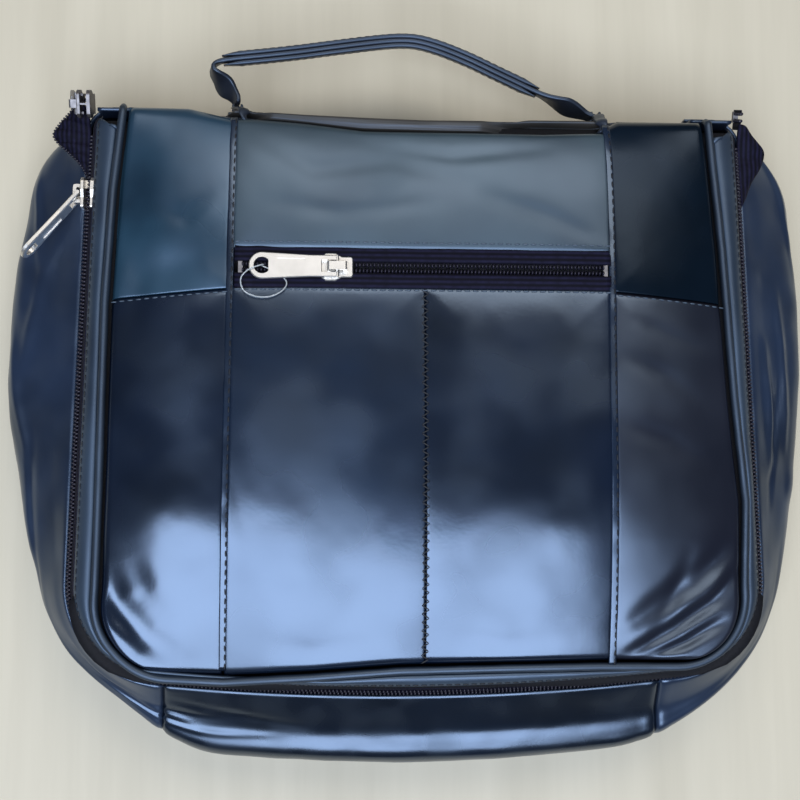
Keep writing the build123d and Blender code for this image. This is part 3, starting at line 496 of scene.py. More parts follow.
def repeat_tree(name):
    """A tree that sets a bead, stretched to a length, width and height, along guide runs."""
    tree = bpy.data.node_groups.new(name, "GeometryNodeTree")
    sockets = {}
    tree.interface.new_socket("Geometry", in_out="INPUT", socket_type="NodeSocketGeometry")
    for key, kind in (("Pitch", "Float"), ("Length", "Float"), ("Width", "Float"), ("Height", "Float"),
                      ("Slant", "Float"), ("Wander", "Float"), ("Seed", "Int"), ("Material", "Material")):
        made = tree.interface.new_socket(key, in_out="INPUT", socket_type="NodeSocket" + kind)
        sockets[key] = made.identifier
    tree.interface.new_socket("Geometry", in_out="OUTPUT", socket_type="NodeSocketGeometry")
    given = add(tree, "NodeGroupInput").outputs
    curve = add(tree, "GeometryNodeMeshToCurve", {"Mesh": given["Geometry"]})
    spaced = add(tree, "GeometryNodeResampleCurve",
                 {"Curve": curve.outputs["Curve"], "Length": given["Pitch"]}, mode="LENGTH")
    heading = add(tree, "GeometryNodeInputTangent")
    facing = add(tree, "GeometryNodeInputNamedAttribute", {"Name": "out"}, data_type="FLOAT_VECTOR")
    along = add(tree, "FunctionNodeAlignRotationToVector", {"Vector": heading.outputs["Tangent"]}, axis="X")
    upright = add(tree, "FunctionNodeAlignRotationToVector",
                  {"Rotation": along.outputs["Rotation"], "Vector": facing.outputs["Attribute"]},
                  axis="Z", pivot_axis="X")
    wander = add(tree, "FunctionNodeRandomValue", {"Seed": given["Seed"]})
    for limit, operation in ((2, "SUBTRACT"), (3, "ADD")):
        bound = add(tree, "ShaderNodeMath", {0: given["Slant"], 1: given["Wander"]}, operation=operation)
        fill(wander, {limit: bound.outputs["Value"]})
    lean = add(tree, "ShaderNodeCombineXYZ", {"Z": wander.outputs[1]})
    lean_turn = add(tree, "FunctionNodeEulerToRotation", {"Euler": lean.outputs["Vector"]})
    turned = add(tree, "FunctionNodeRotateRotation",
                 {"Rotation": upright.outputs["Rotation"], "Rotate By": lean_turn.outputs["Rotation"]},
                 rotation_space="LOCAL")
    bead = add(tree, "GeometryNodeMeshUVSphere", {"Segments": 8, "Rings": 5, "Radius": 0.5})
    size = add(tree, "ShaderNodeCombineXYZ",
               {"X": given["Length"], "Y": given["Width"], "Z": given["Height"]})
    sized = add(tree, "GeometryNodeTransform",
                {"Geometry": bead.outputs["Mesh"], "Scale": size.outputs["Vector"]})
    placed = add(tree, "GeometryNodeInstanceOnPoints",
                 {"Points": spaced.outputs["Curve"], "Instance": sized.outputs["Geometry"],
                  "Rotation": turned.outputs["Rotation"]})
    real = add(tree, "GeometryNodeRealizeInstances", {"Geometry": placed.outputs["Instances"]})
    smooth = add(tree, "GeometryNodeSetShadeSmooth", {"Geometry": real.outputs["Geometry"]})
    dressed = add(tree, "GeometryNodeSetMaterial",
                  {"Geometry": smooth.outputs["Geometry"], "Material": given["Material"]})
    add(tree, "NodeGroupOutput", {"Geometry": dressed.outputs["Geometry"]})
    return tree, sockets


BEADS, BEAD_SOCKETS = repeat_tree("beads_along_a_run")


def beads(name, runs, pitch, length, width, height, material, slant=0.0, wander=0.0, seed=1):
    """Stitches or coil turns along runs of points, each with its own outward directions."""
    points, edges, facing = [], [], []
    for run, out in runs:
        run = np.asarray(run, float)
        out = np.broadcast_to(np.asarray(out, float), run.shape)
        first = len(points)
        points += (run * MM).tolist()
        facing += unit(out).tolist()
        edges += [(first + k, first + k + 1) for k in range(len(run) - 1)]
    guide = bpy.data.meshes.new(name + "_guide")
    guide.from_pydata(points, edges, [])
    attribute = guide.attributes.new("out", "FLOAT_VECTOR", "POINT")
    attribute.data.foreach_set("vector", np.asarray(facing, np.float32).ravel())
    piece = linked(name, guide)
    modifier = piece.modifiers.new("beads", "NODES")
    modifier.node_group = BEADS
    values = {"Pitch": pitch * MM, "Length": length * MM, "Width": width * MM, "Height": height * MM,
              "Slant": slant, "Wander": wander, "Seed": seed, "Material": material}
    for key, value in values.items():
        modifier[BEAD_SOCKETS[key]] = value
    graph = bpy.context.evaluated_depsgraph_get()
    made = bpy.data.meshes.new_from_object(piece.evaluated_get(graph))
    piece.modifiers.remove(modifier)
    piece.data = made
    made.materials.clear()
    made.materials.append(material)
    return piece


# ---------------------------------------------------------------- lid

SEAM_X, SEAM_HALF = 69.0, 1.5
SIDE_SEAM_Y = 33.0
SLOT_LOW, SLOT_HIGH = 35.5, 48.5
# runs over the lid with their width and depth, a ridge where the depth is negative
LID_CREASES = [
    ([(76, -95), (92, -84), (110, -76)], 3.0, 1.5), ([(72, -86), (90, -72), (106, -62)], 3.4, 1.2),
    ([(84, -97), (98, -90), (110, -84)], 2.6, 1.3), ([(80, -90), (95, -78), (108, -69)], 2.2, -0.8),
    ([(-113, -62), (-108, -76), (-98, -88), (-86, -96)], 6.0, 1.7),
    ([(-104, -60), (-98, -74), (-88, -84)], 5.0, 0.7),
    ([(-116, -70), (-111, -84), (-101, -94)], 3.0, -0.7),
    ([(-62, 92), (-40, 78), (-12, 82), (18, 74)], 4.0, 0.55),
    ([(-20, 88), (10, 84), (46, 88)], 3.0, 0.5), ([(20, 70), (45, 62), (64, 54)], 3.5, 0.6),
    ([(-58, 66), (-30, 62), (0, 66)], 3.0, 0.35), ([(74, 10), (88, 4), (102, -6)], 3.5, 0.5),
    ([(78, 24), (92, 18), (104, 14)], 2.6, 0.45), ([(74, -14), (90, -20), (106, -30)], 4.0, 0.5),
    ([(-110, 60), (-102, 40), (-104, 20)], 4.5, 0.5), ([(-74, 70), (-86, 60), (-100, 66)], 3.5, 0.35),
    ([(8, -88), (28, -92), (52, -90)], 4.0, 0.4), ([(-60, -90), (-40, -94), (-16, -90)], 4.5, 0.4),
    ([(-110, 96), (-108, 74), (-109, 50)], 9.0, 1.6), ([(-108, 42), (-94, 40), (-78, 44)], 8.0, 1.1),
    ([(-116, -42), (-94, -48), (-66, -42)], 16.0, -1.1), ([(6, -40), (40, -46), (64, -44)], 15.0, -0.7),
    ([(71, -97), (90, -88), (104, -78), (115, -66)], 2.2, 1.7),
    ([(74, -99), (95, -92), (108, -84)], 1.8, 1.2), ([(78, -84), (98, -72), (112, -56)], 4.0, 1.4),
    ([(82, -90), (90, -76), (96, -60)], 3.0, 0.9),
]


def lid_half(y):
    share = (LID_TOP - y) / (LID_TOP - LID_BOTTOM)
    return LID_HALF_TOP + (LID_HALF_BOTTOM - LID_HALF_TOP) * share


def seam_x(y, sign):
    """The long seams lean to the left as they run down."""
    share = np.clip((LID_TOP - np.asarray(y, float)) / (LID_TOP - LID_BOTTOM), 0, 1)
    return sign * SEAM_X - np.where(np.asarray(sign) < 0, 2.3, 1.2) * share


def drift(y, sign):
    """How far the hand-sewn edge of the lid wanders out of its straight line."""
    if sign < 0:
        return np.interp(y, [-102, -72, -40, -5, 31, 72, 101], [-0.6, -0.8, 0.1, 1.4, 2.6, 2.4, 0.8])
    return np.interp(y, [-102, -72, -41, -4, 52, 101], [0.0, 0.6, 3.4, 2.0, 1.4, -0.4])


def bottom_drift(x):
    """How far the lid's bottom edge lies above its straight line."""
    return np.interp(x, [-110, -91, -71, -40, -9, 30, 63, 93, 110],
                     [0, -1.4, -2.6, -1.4, 0.5, 1.0, 1.3, 0.9, 0])


def wandering(line):
    """An outline of the lid with its hand-sewn wander."""
    line = line.copy()
    x, y = line[:, 0].copy(), line[:, 1].copy()
    line[:, 0] += np.where(x < 0, -drift(y, -1), drift(y, 1)) * np.clip((np.abs(x) - 90) / 20, 0, 1)
    line[:, 1] += bottom_drift(x) * np.clip((-78 - y) / 16, 0, 1)
    return line


def seam_y(x):
    """The seam across the lid's sides, which slants down outwards."""
    return SIDE_SEAM_Y + 1.4 - 0.07 * (np.abs(x) - SEAM_X)


def lid_height(x, y):
    """The lid's outer surface: full in the middle, softer towards the bottom edge."""
    x, y = np.asarray(x, float), np.asarray(y, float)
    share = np.clip((LID_TOP - y) / (LID_TOP - LID_BOTTOM), 0, 1)
    across = 1 - np.abs(x / (lid_half(y) + 0.5)) ** 4.6
    t = 2 * share - 1
    along = 1 - np.where(t > 0, np.abs(t) ** 3.2, np.abs(t) ** 6)
    height = LID_Z + 0.6 + 9.4 * np.clip(across, 0, 1) * np.clip(along, 0, 1)
    long_seam = np.minimum(np.abs(x - seam_x(y, -1)), np.abs(x - seam_x(y, 1)))
    edge = np.where(y > SLOT_HIGH, long_seam, np.minimum(long_seam, np.abs(x)))
    side_seam = np.where(np.abs(x) > SEAM_X, np.abs(y - seam_y(x)), 1e3)
    pocket = np.where(np.abs(x) < SEAM_X, np.minimum(np.abs(y - SLOT_LOW), np.abs(y - SLOT_HIGH)), 1e3)
    nearest = np.minimum(edge, np.minimum(side_seam, pocket))
    height += 0.7 * (1 - np.exp(-nearest / 6.0)) - 0.4
    beyond = np.clip(x - seam_x(y, 1), 0, None)
    height += 1.0 * (1 - np.exp(-beyond / 9.0)) * np.clip((-25 - y) / 30, 0, 1)
    height += 0.26 * ripple(x, y, 40, 3) + 0.08 * ripple(x, y, 14, 4) + 0.02 * ripple(x, y, 5, 5)
    for run, width, depth in LID_CREASES:
        height += crease(x, y, run, width, depth)
    return height


def close_spaced(low, high, step, tight=(0.0, 0.25, 0.6, 1.1, 1.9)):
    """Places from low to high, a step apart, drawn together at both ends."""
    tight = np.array(tight)
    middle = np.linspace(low + tight[-1] + step, high - tight[-1] - step,
                         max(2, int((high - low) / step) - 3))
    return np.concatenate([low + tight, middle, (high - tight)[::-1]])


def rolled(edge_distance, radius=1.7, drop=1.9):
    """How far leather falls where its edge is turned under."""
    share = np.clip(1 - edge_distance / radius, 0, 1)
    return -drop * (1 - np.sqrt(np.clip(1 - share ** 2, 0, 1)))


def shares_between(low, high, step):
    places = close_spaced(low, high, step)
    return (places - low) / (high - low)


LINING_TOP = 56.94  # the upper face of the lid's lining
PATCH_STEP = 1.25  # between the rows and columns of a patch
PATCH_TOP = 100.2  # the patches' upper edge, before it sags


def lay_patch(name, ys, limits, material, node, rolls, edge_lines):
    """A leather patch over the lid: rolls gives the radius and drop of the edges turned under, at the
    upper, lower, inner (or left) and outer (or right) side; edge lines bend its upper and lower edge."""
    widest = max(abs(b - a) for a, b in limits)
    xs = shares_between(0.0, widest, PATCH_STEP)
    limits = np.array(limits)[:, :, None]
    width = np.abs(limits[:, 1] - limits[:, 0])
    grid = grid_of(limits[:, 0] + (limits[:, 1] - limits[:, 0]) * xs, ys[:, None], 0.0)
    upper, lower = edge_lines
    share = ((ys[0] - ys) / (ys[0] - ys[-1]))[:, None]
    if upper is not None:
        grid[..., 1] += (upper(grid[..., 0]) - ys[0]) * np.clip(1 - share, 0, 1) ** 2
    if lower is not None:
        grid[..., 1] += (lower(grid[..., 0]) - ys[-1]) * share ** 2
    grid[..., 2] = lid_height(grid[..., 0], grid[..., 1])
    distances = (np.abs(ys[0] - ys)[:, None], np.abs(ys[-1] - ys)[:, None],
                 xs[None] * width, (1 - xs[None]) * width)
    for distance, (radius, drop) in zip(distances, rolls):
        grid[..., 2] += rolled(distance, radius, drop)
    lowest = LINING_TOP + LEATHER + 0.15  # clear of the lining under it
    grid[..., 2] = np.maximum(grid[..., 2], lowest)
    laid_sheet(name, grid, LEATHER, material, UP, "lid", node)


PIPE_GAP = 2.2  # between the lid's outline and the edges of its patches
# radius and drop of an edge turned under
DEEP, TURNED, SOFT, FLUSH = (2.2, 3.6), (1.5, 1.7), (1.2, 0.9), (0.5, 0.3)


def top_edge_y(x):
    """The lid leather's upper edge, which sags between the seams."""
    return np.interp(x, [-110, -86, -78, -69.2, -62, -44, -22, 45, 68, 69.5, 74, 110],
                     [103.3, 103.2, 101.4, 99.4, 99.2, 97.6, 94.8, 94.8, 96.2, 99.0, 101.6, 101.7])


def build_lid():
    gap = 0.06  # half the open seam in the middle
    beside = 0.3  # between a patch's edge and the line of a long seam
    left_seam, right_seam = (lambda y: seam_x(y, -1) + beside), (lambda y: seam_x(y, 1) - beside)
    high = close_spaced(SLOT_HIGH, PATCH_TOP, PATCH_STEP)[::-1]
    # this patch's leather colour holds a painted reflection of the ceiling
    lay_patch("lid_patch_center_top", high, [(left_seam(y), right_seam(y)) for y in high], SLATE_PAINTED_REFLECTION,
              "lid_center_top", ((2.4, 3.4), TURNED, SOFT, SOFT), (top_edge_y, None))
    low = close_spaced(LID_BOTTOM + PIPE_GAP, SLOT_LOW, PATCH_STEP)[::-1]
    lines = (None, lambda x: LID_BOTTOM + PIPE_GAP + bottom_drift(x))
    lay_patch("lid_patch_center_left", low, [(left_seam(y), -gap) for y in low], NAVY,
              "lid_center_left", (TURNED, DEEP, SOFT, FLUSH), lines)
    lay_patch("lid_patch_center_right", low, [(gap, right_seam(y)) for y in low], NAVY_DEEP,
              "lid_center_right", (TURNED, DEEP, FLUSH, SOFT), lines)
    upper = close_spaced(SIDE_SEAM_Y, PATCH_TOP, PATCH_STEP)[::-1]
    corner, start = LID_CORNER - PIPE_GAP, LID_BOTTOM + LID_CORNER
    turns = np.radians(np.linspace(4, 84, 22))
    lower = np.concatenate([close_spaced(start, SIDE_SEAM_Y, PATCH_STEP, (0.0,))[::-1],
                            start - corner * np.sin(turns)])
    # the upper left patch's leather colour holds a painted reflection of the ceiling
    for (sign, word), high_stuff, low_stuff in zip(SIDES, (NAVY_UPPER, GREEN_BLACK), (NAVY_DEEP, PLUM)):
        def limits(y):
            far = lid_half(y) + drift(y, sign) - PIPE_GAP
            if y < start:
                far = far - corner + math.sqrt(max(0.0, corner ** 2 - (start - y) ** 2))
            return seam_x(y, sign) + sign * beside, sign * far

        lay_patch(f"lid_patch_{word}_upper", upper, [limits(y) for y in upper], high_stuff,
                  f"lid_{word}_upper", ((4.0, 3.6), FLUSH, SOFT, DEEP),
                  (top_edge_y, lambda x: seam_y(x) + gap))
        lay_patch(f"lid_patch_{word}_lower", lower, [limits(y) for y in lower], low_stuff,
                  f"lid_{word}_lower", (FLUSH, DEEP, SOFT, DEEP),
                  (lambda x: seam_y(x) - gap, lambda x: lower[-1] + bottom_drift(x)))


def build_seam_strips():
    """The narrow raised strips that cover the two long seams; their rows of stitches come in
    build_lid_stitches.
    """
    for sign, word in SIDES:
        ys = np.arange(LID_BOTTOM + 1.6, 99.4, 1.5)
        across = np.array([-1.0, -0.97, -0.85, -0.55, 0.0, 0.55, 0.85, 0.97, 1.0])
        rise = np.array([-0.9, -0.35, 0.0, 0.16, 0.2, 0.16, 0.0, -0.35, -0.9])
        grid = grid_of(seam_x(ys, sign)[:, None] + across * SEAM_HALF, ys[:, None], 0.0)
        x, y = grid[..., 0], grid[..., 1]
        grid[..., 2] = lid_height(x, y) + rise + 0.12 * ripple(y, x, 6, 8 + sign)
        mend_normals(laid_sheet(f"seam_strip_{word}_raised", grid, THIN, NAVY, UP, "lid",
                                f"seam_strip_{word}"))


def on_lid(points_xy, rise=0.0):
    run = np.asarray(points_xy, float)
    heights = lid_height(run[:, 0], run[:, 1]) + rise
    dx = (lid_height(run[:, 0] + 1, run[:, 1]) - lid_height(run[:, 0] - 1, run[:, 1])) / 2
    dy = (lid_height(run[:, 0], run[:, 1] + 1) - lid_height(run[:, 0], run[:, 1] - 1)) / 2
    return np.column_stack([run, heights]), unit(np.column_stack([-dx, -dy, np.ones(len(run))]))


def straight(a, b, step=2.0):
    return resampled([a, b], step)


def build_lid_stitches():
    ys = np.arange(LID_BOTTOM + 3, 99.0, 1.5)
    strips = [on_lid(np.column_stack([seam_x(ys, sign) + 0.7, ys]), 0.16) for sign in (-1, 1)]
    round_zip = [on_lid(straight((-67, y), (67, y)), 0.1) for y in (34.0, 51.3)]
    ends = [(x, seam_y(x) - 1.2) for x in (71.5, 111.5)]
    side_seams = [on_lid(straight(*[(sign * x, y) for x, y in ends]), 0.1) for sign in (-1, 1)]
    # the stitches round the pocket zip and on the side seams take the paler thread with painted sheen
    for name, runs, sizes, thread, wander, seed in (
            ("stitches_on_seam_strips", strips, (3.3, 2.5, 0.65, 0.5), THREAD_DARK, 0.06, 2),
            ("stitches_round_pocket_zip", round_zip, (3.0, 2.3, 0.6, 0.5), THREAD_PAINTED_SHEEN, 0.05, 3),
            ("stitches_on_side_seams", side_seams, (3.0, 2.3, 0.55, 0.45), THREAD_PAINTED_SHEEN, 0.05, 4)):
        settle(beads(name, runs, *sizes, thread, wander=wander, seed=seed), "lid")
    for offset, slant in ((0.0, 0.5), (1.5, -0.5)):
        ladder = [on_lid(straight((0, LID_BOTTOM + 4 + offset), (0, 32.0 + offset)), 0.05)]
        word = "right" if slant < 0 else "left"
        piece = beads(f"stitches_zigzag_center_{word}", ladder, 3.0, 0.55, 3.6, 0.4, THREAD_DARK,
                      slant=slant, wander=0.06, seed=6)
        settle(piece, "lid")


def build_pocket_zip():
    """The straight zip across the lid: two tapes in the slot and two coil rows between them."""
    for sign, word in ((1, "upper"), (-1, "lower")):
        xs = np.arange(-68.0, 68.1, 2.0)
        offs = np.array([1.9, 3.0, 4.4, 6.0, 7.6, 9.4])
        sink = np.interp(offs, [1.9, 4.4, 9.4], [0.25, 0.35, -0.6])
        grid = grid_of(xs, POCKET_ZIP_Y + sign * offs[:, None],
                       POCKET_ZIP_Z + sink[:, None] - 0.29 * np.abs(xs / 62.0) ** 6)
        grid[..., 2] += 0.12 * ripple(grid[..., 0], grid[..., 1], 7, 11)
        laid_sheet(f"pocket_zip_tape_{word}", grid, 0.6, TAPE, UP, "lid", f"pocket_tape_{word}")
        y = POCKET_ZIP_Y + sign * 1.05
        run = straight((-65, y, POCKET_ZIP_Z), (65, y, POCKET_ZIP_Z), 1.0)
        coil = beads(f"pocket_zip_coil_{word}", [(run, UP)], 1.3, 0.95, 1.75, 1.9, COIL, slant=0.12 * sign)
        settle(coil, "lid", f"pocket_coil_{word}")


def build_piping():
    line = wandering(outline(LID_LINE, 200.0, 1.6))
    z = np.full(len(line), LID_Z - 0.3)
    swell = 0.35 * ripple(np.cumsum(np.ones(len(line))) * 1.6, z, 9, 12)
    path = np.column_stack([line, z + 0.5 * swell])
    head = [(-109.9, 104.0, 56.0), (-109.9, 103.5, 58.2), (-109.9, 102.2, 59.8)]
    tail = [(-x - 1.3, y - 1.2, h) for x, y, h in head[::-1]]
    path = np.concatenate([head, path, tail])
    radii = np.full(len(path), 1.5) + 0.08 * ripple(np.arange(len(path)) * 1.6, np.zeros(len(path)), 5, 13)
    radii[:3], radii[-3:] = (1.0, 1.25, 1.4), (1.4, 1.25, 1.0)
    piece = tube("lid_piping_cord", path, radii, PIPING, 12)
    settle(piece, "lid", "lid_piping")


# ---------------------------------------------------------------- sides of the bag

ZIP_RUN = outline(ZIP_LINE, TOP_HALF, STEP)
ZIP_OUT = outward(ZIP_RUN)
TO_BELLY = reach(ZIP_RUN, ZIP_OUT, outline(BELLY_LINE, 0.0, 3.0))
TO_BACK = reach(ZIP_RUN, ZIP_OUT, outline(BACK_LINE, 0.0, 3.0))
RUN_LENGTH = run_length(ZIP_RUN)
# swells of the belly: their middle along the run, from its end where negative, width and height
for middle, width, more in ((50, 20, -2.5), (125, 45, 3.0), (232, 18, -3.5),
                            (-50, 20, -1.5), (-130, 45, 0.8), (-222, 15, 1.0)):
    place = middle if middle > 0 else RUN_LENGTH[-1] + middle
    TO_BELLY += more * np.exp(-((RUN_LENGTH - place) / width) ** 2)


def run_grid(columns, offsets, heights):
    """A grid along the zip line: rows of offsets outwards and heights, for some of its columns."""
    run, out = ZIP_RUN[columns], ZIP_OUT[columns]
    offsets, heights = np.broadcast_arrays(offsets, heights)
    grid = np.zeros((offsets.shape[0], len(run), 3))
    grid[..., :2] = run[None] + out[None] * offsets[..., None]
    grid[..., 2] = heights
    return grid


def outside(columns):
    """The direction away from the bag, and a little up, at the middle of some columns."""
    return np.append(ZIP_OUT[columns[len(columns) // 2]], 0.4)


def gusset_rows(columns, inset=0.0):
    """Offsets and heights of the gusset's face from its lip over the belly to the back edge."""
    belly, back = TO_BELLY[columns][None] - inset, TO_BACK[columns][None] - inset
    lip = LIP_OUT - inset * 0.3
    rows_out, rows_up = [], []
    for out, up in ((-1.3, -3.6), (-1.5, -1.6), (-1.1, -0.5), (-0.4, 0.0)):
        rows_out.append(np.full_like(belly, lip + out))
        rows_up.append(np.full_like(belly, LIP_Z + up - inset * 0.5))
    crown = LIP_Z - inset * 0.5
    shelf = np.clip((-ZIP_OUT[columns, 1] - 0.35) / 0.65, 0, 1)[None]
    shares = 1 - np.linspace(0.985, 0, 40) ** 2
    side_fall = np.interp(shares, [0, 0.06, 0.5, 0.8, 0.9, 0.96, 1], [23.4, 22.3, 15.4, 10.8, 8.4, 5.4, 0])
    bottom_fall = np.interp(shares, [0, 0.06, 0.47, 0.55, 0.8, 0.88, 0.94, 0.98, 1],
                            [23.4, 22.2, 14.4, 13.4, 12.2, 10.8, 8.3, 4.8, 0])
    for _ in range(5):
        for fall in (side_fall, bottom_fall):
            fall[1:-1] = 0.25 * fall[:-2] + 0.5 * fall[1:-1] + 0.25 * fall[2:]
    for share, side, bottom in zip(shares, side_fall, bottom_fall):
        rows_out.append(lip + (belly - lip) * share)
        fall = (side * (1 - shelf) + bottom * shelf) * (crown - BELLY_Z) / (LIP_Z - BELLY_Z)
        rows_up.append(np.full_like(belly, BELLY_Z) + fall)
    for turn in np.radians(np.linspace(0, 88, 17)[1:]):
        rows_out.append(back + (belly - back) * math.cos(turn))
        rows_up.append(np.full_like(belly, BELLY_Z - (BELLY_Z - 1.9) * math.sin(turn)))
    return np.concatenate(rows_out), np.concatenate(rows_up)


GUSSET_FOLDS = [
    # along the run from .. to (mm), row share at both, width share, height
    (205, 262, 0.16, 0.30, 0.030, 1.5), (212, 275, 0.26, 0.20, 0.022, -1.2),
    (222, 290, 0.36, 0.30, 0.026, 1.1), (238, 300, 0.12, 0.24, 0.020, -0.9),
    (196, 250, 0.44, 0.52, 0.035, 0.9), (60, 120, 0.20, 0.42, 0.05, 0.7),
    (90, 150, 0.55, 0.35, 0.05, 0.8), (130, 200, 0.30, 0.50, 0.05, -0.8),
    (30, 80, 0.50, 0.25, 0.04, 0.8), (520, 580, 0.20, 0.14, 0.028, 1.5),
    (508, 566, 0.16, 0.28, 0.022, -1.2), (530, 600, 0.34, 0.26, 0.03, 1.1),
    (640, 700, 0.40, 0.25, 0.05, 0.8), (690, 750, 0.22, 0.44, 0.05, -0.7),
    (600, 660, 0.52, 0.38, 0.04, 0.8), (300, 420, 0.30, 0.34, 0.05, 0.5),
    (380, 500, 0.42, 0.36, 0.05, -0.5),
]


def gusset_grid(columns, inset=0.0):
    offsets, heights = gusset_rows(columns, inset)
    grid = run_grid(columns, offsets, heights)
    normals = grid_normals(grid) * (1 if looks_along(grid, outside(columns)) else -1)
    share = np.linspace(0, 1, grid.shape[0])[:, None]
    along = RUN_LENGTH[columns][None]
    calm = np.clip((share - 0.08) / 0.08, 0, 1) * np.clip((0.97 - share) / 0.1, 0, 1)
    wave = 0.7 * ripple(along, share * 60, 26, 21) + 0.3 * ripple(along, share * 60, 9, 22)
    for start, end, share_a, share_b, width, height in GUSSET_FOLDS:
        t = np.clip((along - start) / (end - start), 0, 1)
        fade = np.sin(np.pi * t)
        wave = wave + height * fade * np.exp(-((share - share_a - (share_b - share_a) * t) / width) ** 2)
    flat = np.clip(-ZIP_OUT[columns, 1], 0, 1)[None]
    return grid + normals * (wave * calm * (1 - 0.6 * flat))[..., None]


def seam_column(x):
    """The column where the bottom seam starts, near a place across the bag."""
    below = np.where(ZIP_RUN[:, 1] < -80)[0]
    return below[np.argmin(np.abs(ZIP_RUN[below, 0] - x))]


LEFT_SEAM, RIGHT_SEAM = seam_column(-93.0), seam_column(88.0)
LAST = len(ZIP_RUN) - 1


def build_gussets():
    spans = (("left", 0, LEFT_SEAM), ("bottom", LEFT_SEAM, RIGHT_SEAM), ("right", RIGHT_SEAM, LAST))
    for word, low, high in spans:
        columns = np.arange(low, high + 1)
        grid = gusset_grid(columns)
        ends = np.minimum(RUN_LENGTH[columns] - RUN_LENGTH[low] + (0 if low else 99),
                          RUN_LENGTH[high] - RUN_LENGTH[columns] + (0 if high < LAST else 99))
        facing = outside(columns)
        normals = grid_normals(grid) * (1 if looks_along(grid, facing) else -1)
        sewn_in = 0.25 * np.exp(-((ends - 3.0) / 2.2) ** 2) - 0.6 * np.exp(-(ends / 0.9) ** 2)
        # the side gussets take the leather with painted sheen, the bottom one the darker copy with painted
        # shade
        laid_sheet(f"{word}_gusset_leather", grid + normals * sewn_in[:, None], LEATHER,
                   GUSSET_LOW if word == "bottom" else GUSSET, facing, "root",
                   f"{word}_gusset")
        cloth = gusset_grid(columns[::2], 2.1)[3::2]
        laid_sheet(f"{word}_lining_cloth", cloth, THIN, LINING, facing, "root", f"{word}_lining")


def columns_below(y):
    """The columns of the zip line from its left side to its right side, as far up as a place."""
    below = np.where(ZIP_RUN[:, 1] <= y)[0]
    return np.arange(below[0], below[-1] + 1)


CHAIN_COLUMNS = columns_below(95.0)
LID_COLUMNS = columns_below(102.6)  # the lid's band and tape run up to the fold


def tape_along(name, offsets, heights, body, node, columns):
    """Tape along the zip line, given by its offsets and heights across."""
    spread = np.ones(len(columns))
    grid = run_grid(columns, np.array(offsets)[:, None] * spread, np.array(heights)[:, None] * spread)
    grid[..., 2] += 0.15 * ripple(RUN_LENGTH[columns], np.arange(len(offsets))[:, None] * 3.0, 8, 31)
    laid_sheet(name, grid, THIN, TAPE, outside(columns), body, node)


def build_band():
    """The leather band between the piping and the zip's tape, with its lower edge turned under."""
    columns = LID_COLUMNS
    piping = wandering(outline(grown(LID_LINE, 1.2), 200.0, STEP))
    to_piping = np.clip(-reach(ZIP_RUN, -ZIP_OUT, piping, low=0.0)[columns], -16.0, -5.0)
    shares = np.array([0.0, 0.02, 0.07, 0.16, 0.3, 0.45, 0.6, 0.75, 0.88, 1.0])
    rise = np.array([-2.2, -0.9, -0.1, 0.5, 0.9, 1.1, 1.1, 0.85, 0.3, -0.8])
    offsets = -2.5 + (to_piping[None] + 2.5) * shares[:, None]
    outer_z = 56.6 + 1.3 * np.clip(-ZIP_OUT[columns, 1], 0, 1)[None]
    heights = outer_z + (60.2 - outer_z) * shares[:, None] + rise[:, None]
    along = RUN_LENGTH[columns][None]
    heights = heights + 0.22 * ripple(along, shares[:, None] * 9, 12, 33)
    grid = run_grid(columns, offsets, heights)
    laid_sheet("lid_side_band_leather", grid, 0.9, BAND, UP, "lid", "lid_side_band")
    row = grid[3]
    stitches = beads("stitches_on_side_band", [(row + (0, 0, 0.1), (0, 0, 1))], 3.0, 2.2, 0.55, 0.45,
                     THREAD_DARK, wander=0.05, seed=7)
    settle(stitches, "lid")


COIL_TURNS = (1.4, 1.05, 1.7, 2.0, COIL)  # pitch, length, width and height of the main zip's turns
EYE_COIL = [(-123.6, 78.0, 49.0), (-126.8, 84.0, 48.2), (-131.5, 89.0, 47.8), (-136.2, 93.4, 47.8),
            (-137.1, 96.2, 48.2), (-134.2, 100.2, 49.2), (-130.4, 104.0, 50.4), (-127.8, 107.4, 51.0)]


def smooth_path(points, step=1.0):
    """A smooth run through points, as a chain of cubic pieces."""
    p = np.asarray(points, float)
    p = np.concatenate([[2 * p[0] - p[1]], p, [2 * p[-1] - p[-2]]])
    found = []
    for a, b, c, d in zip(p, p[1:], p[2:], p[3:]):
        for t in np.linspace(0, 1, 12, endpoint=False):
            found.append(0.5 * ((2 * b) + (c - a) * t + (2 * a - 5 * b + 4 * c - d) * t ** 2
                                + (3 * b - a - 3 * c + d) * t ** 3))
    found.append(p[-2])
    return resampled(found, step)


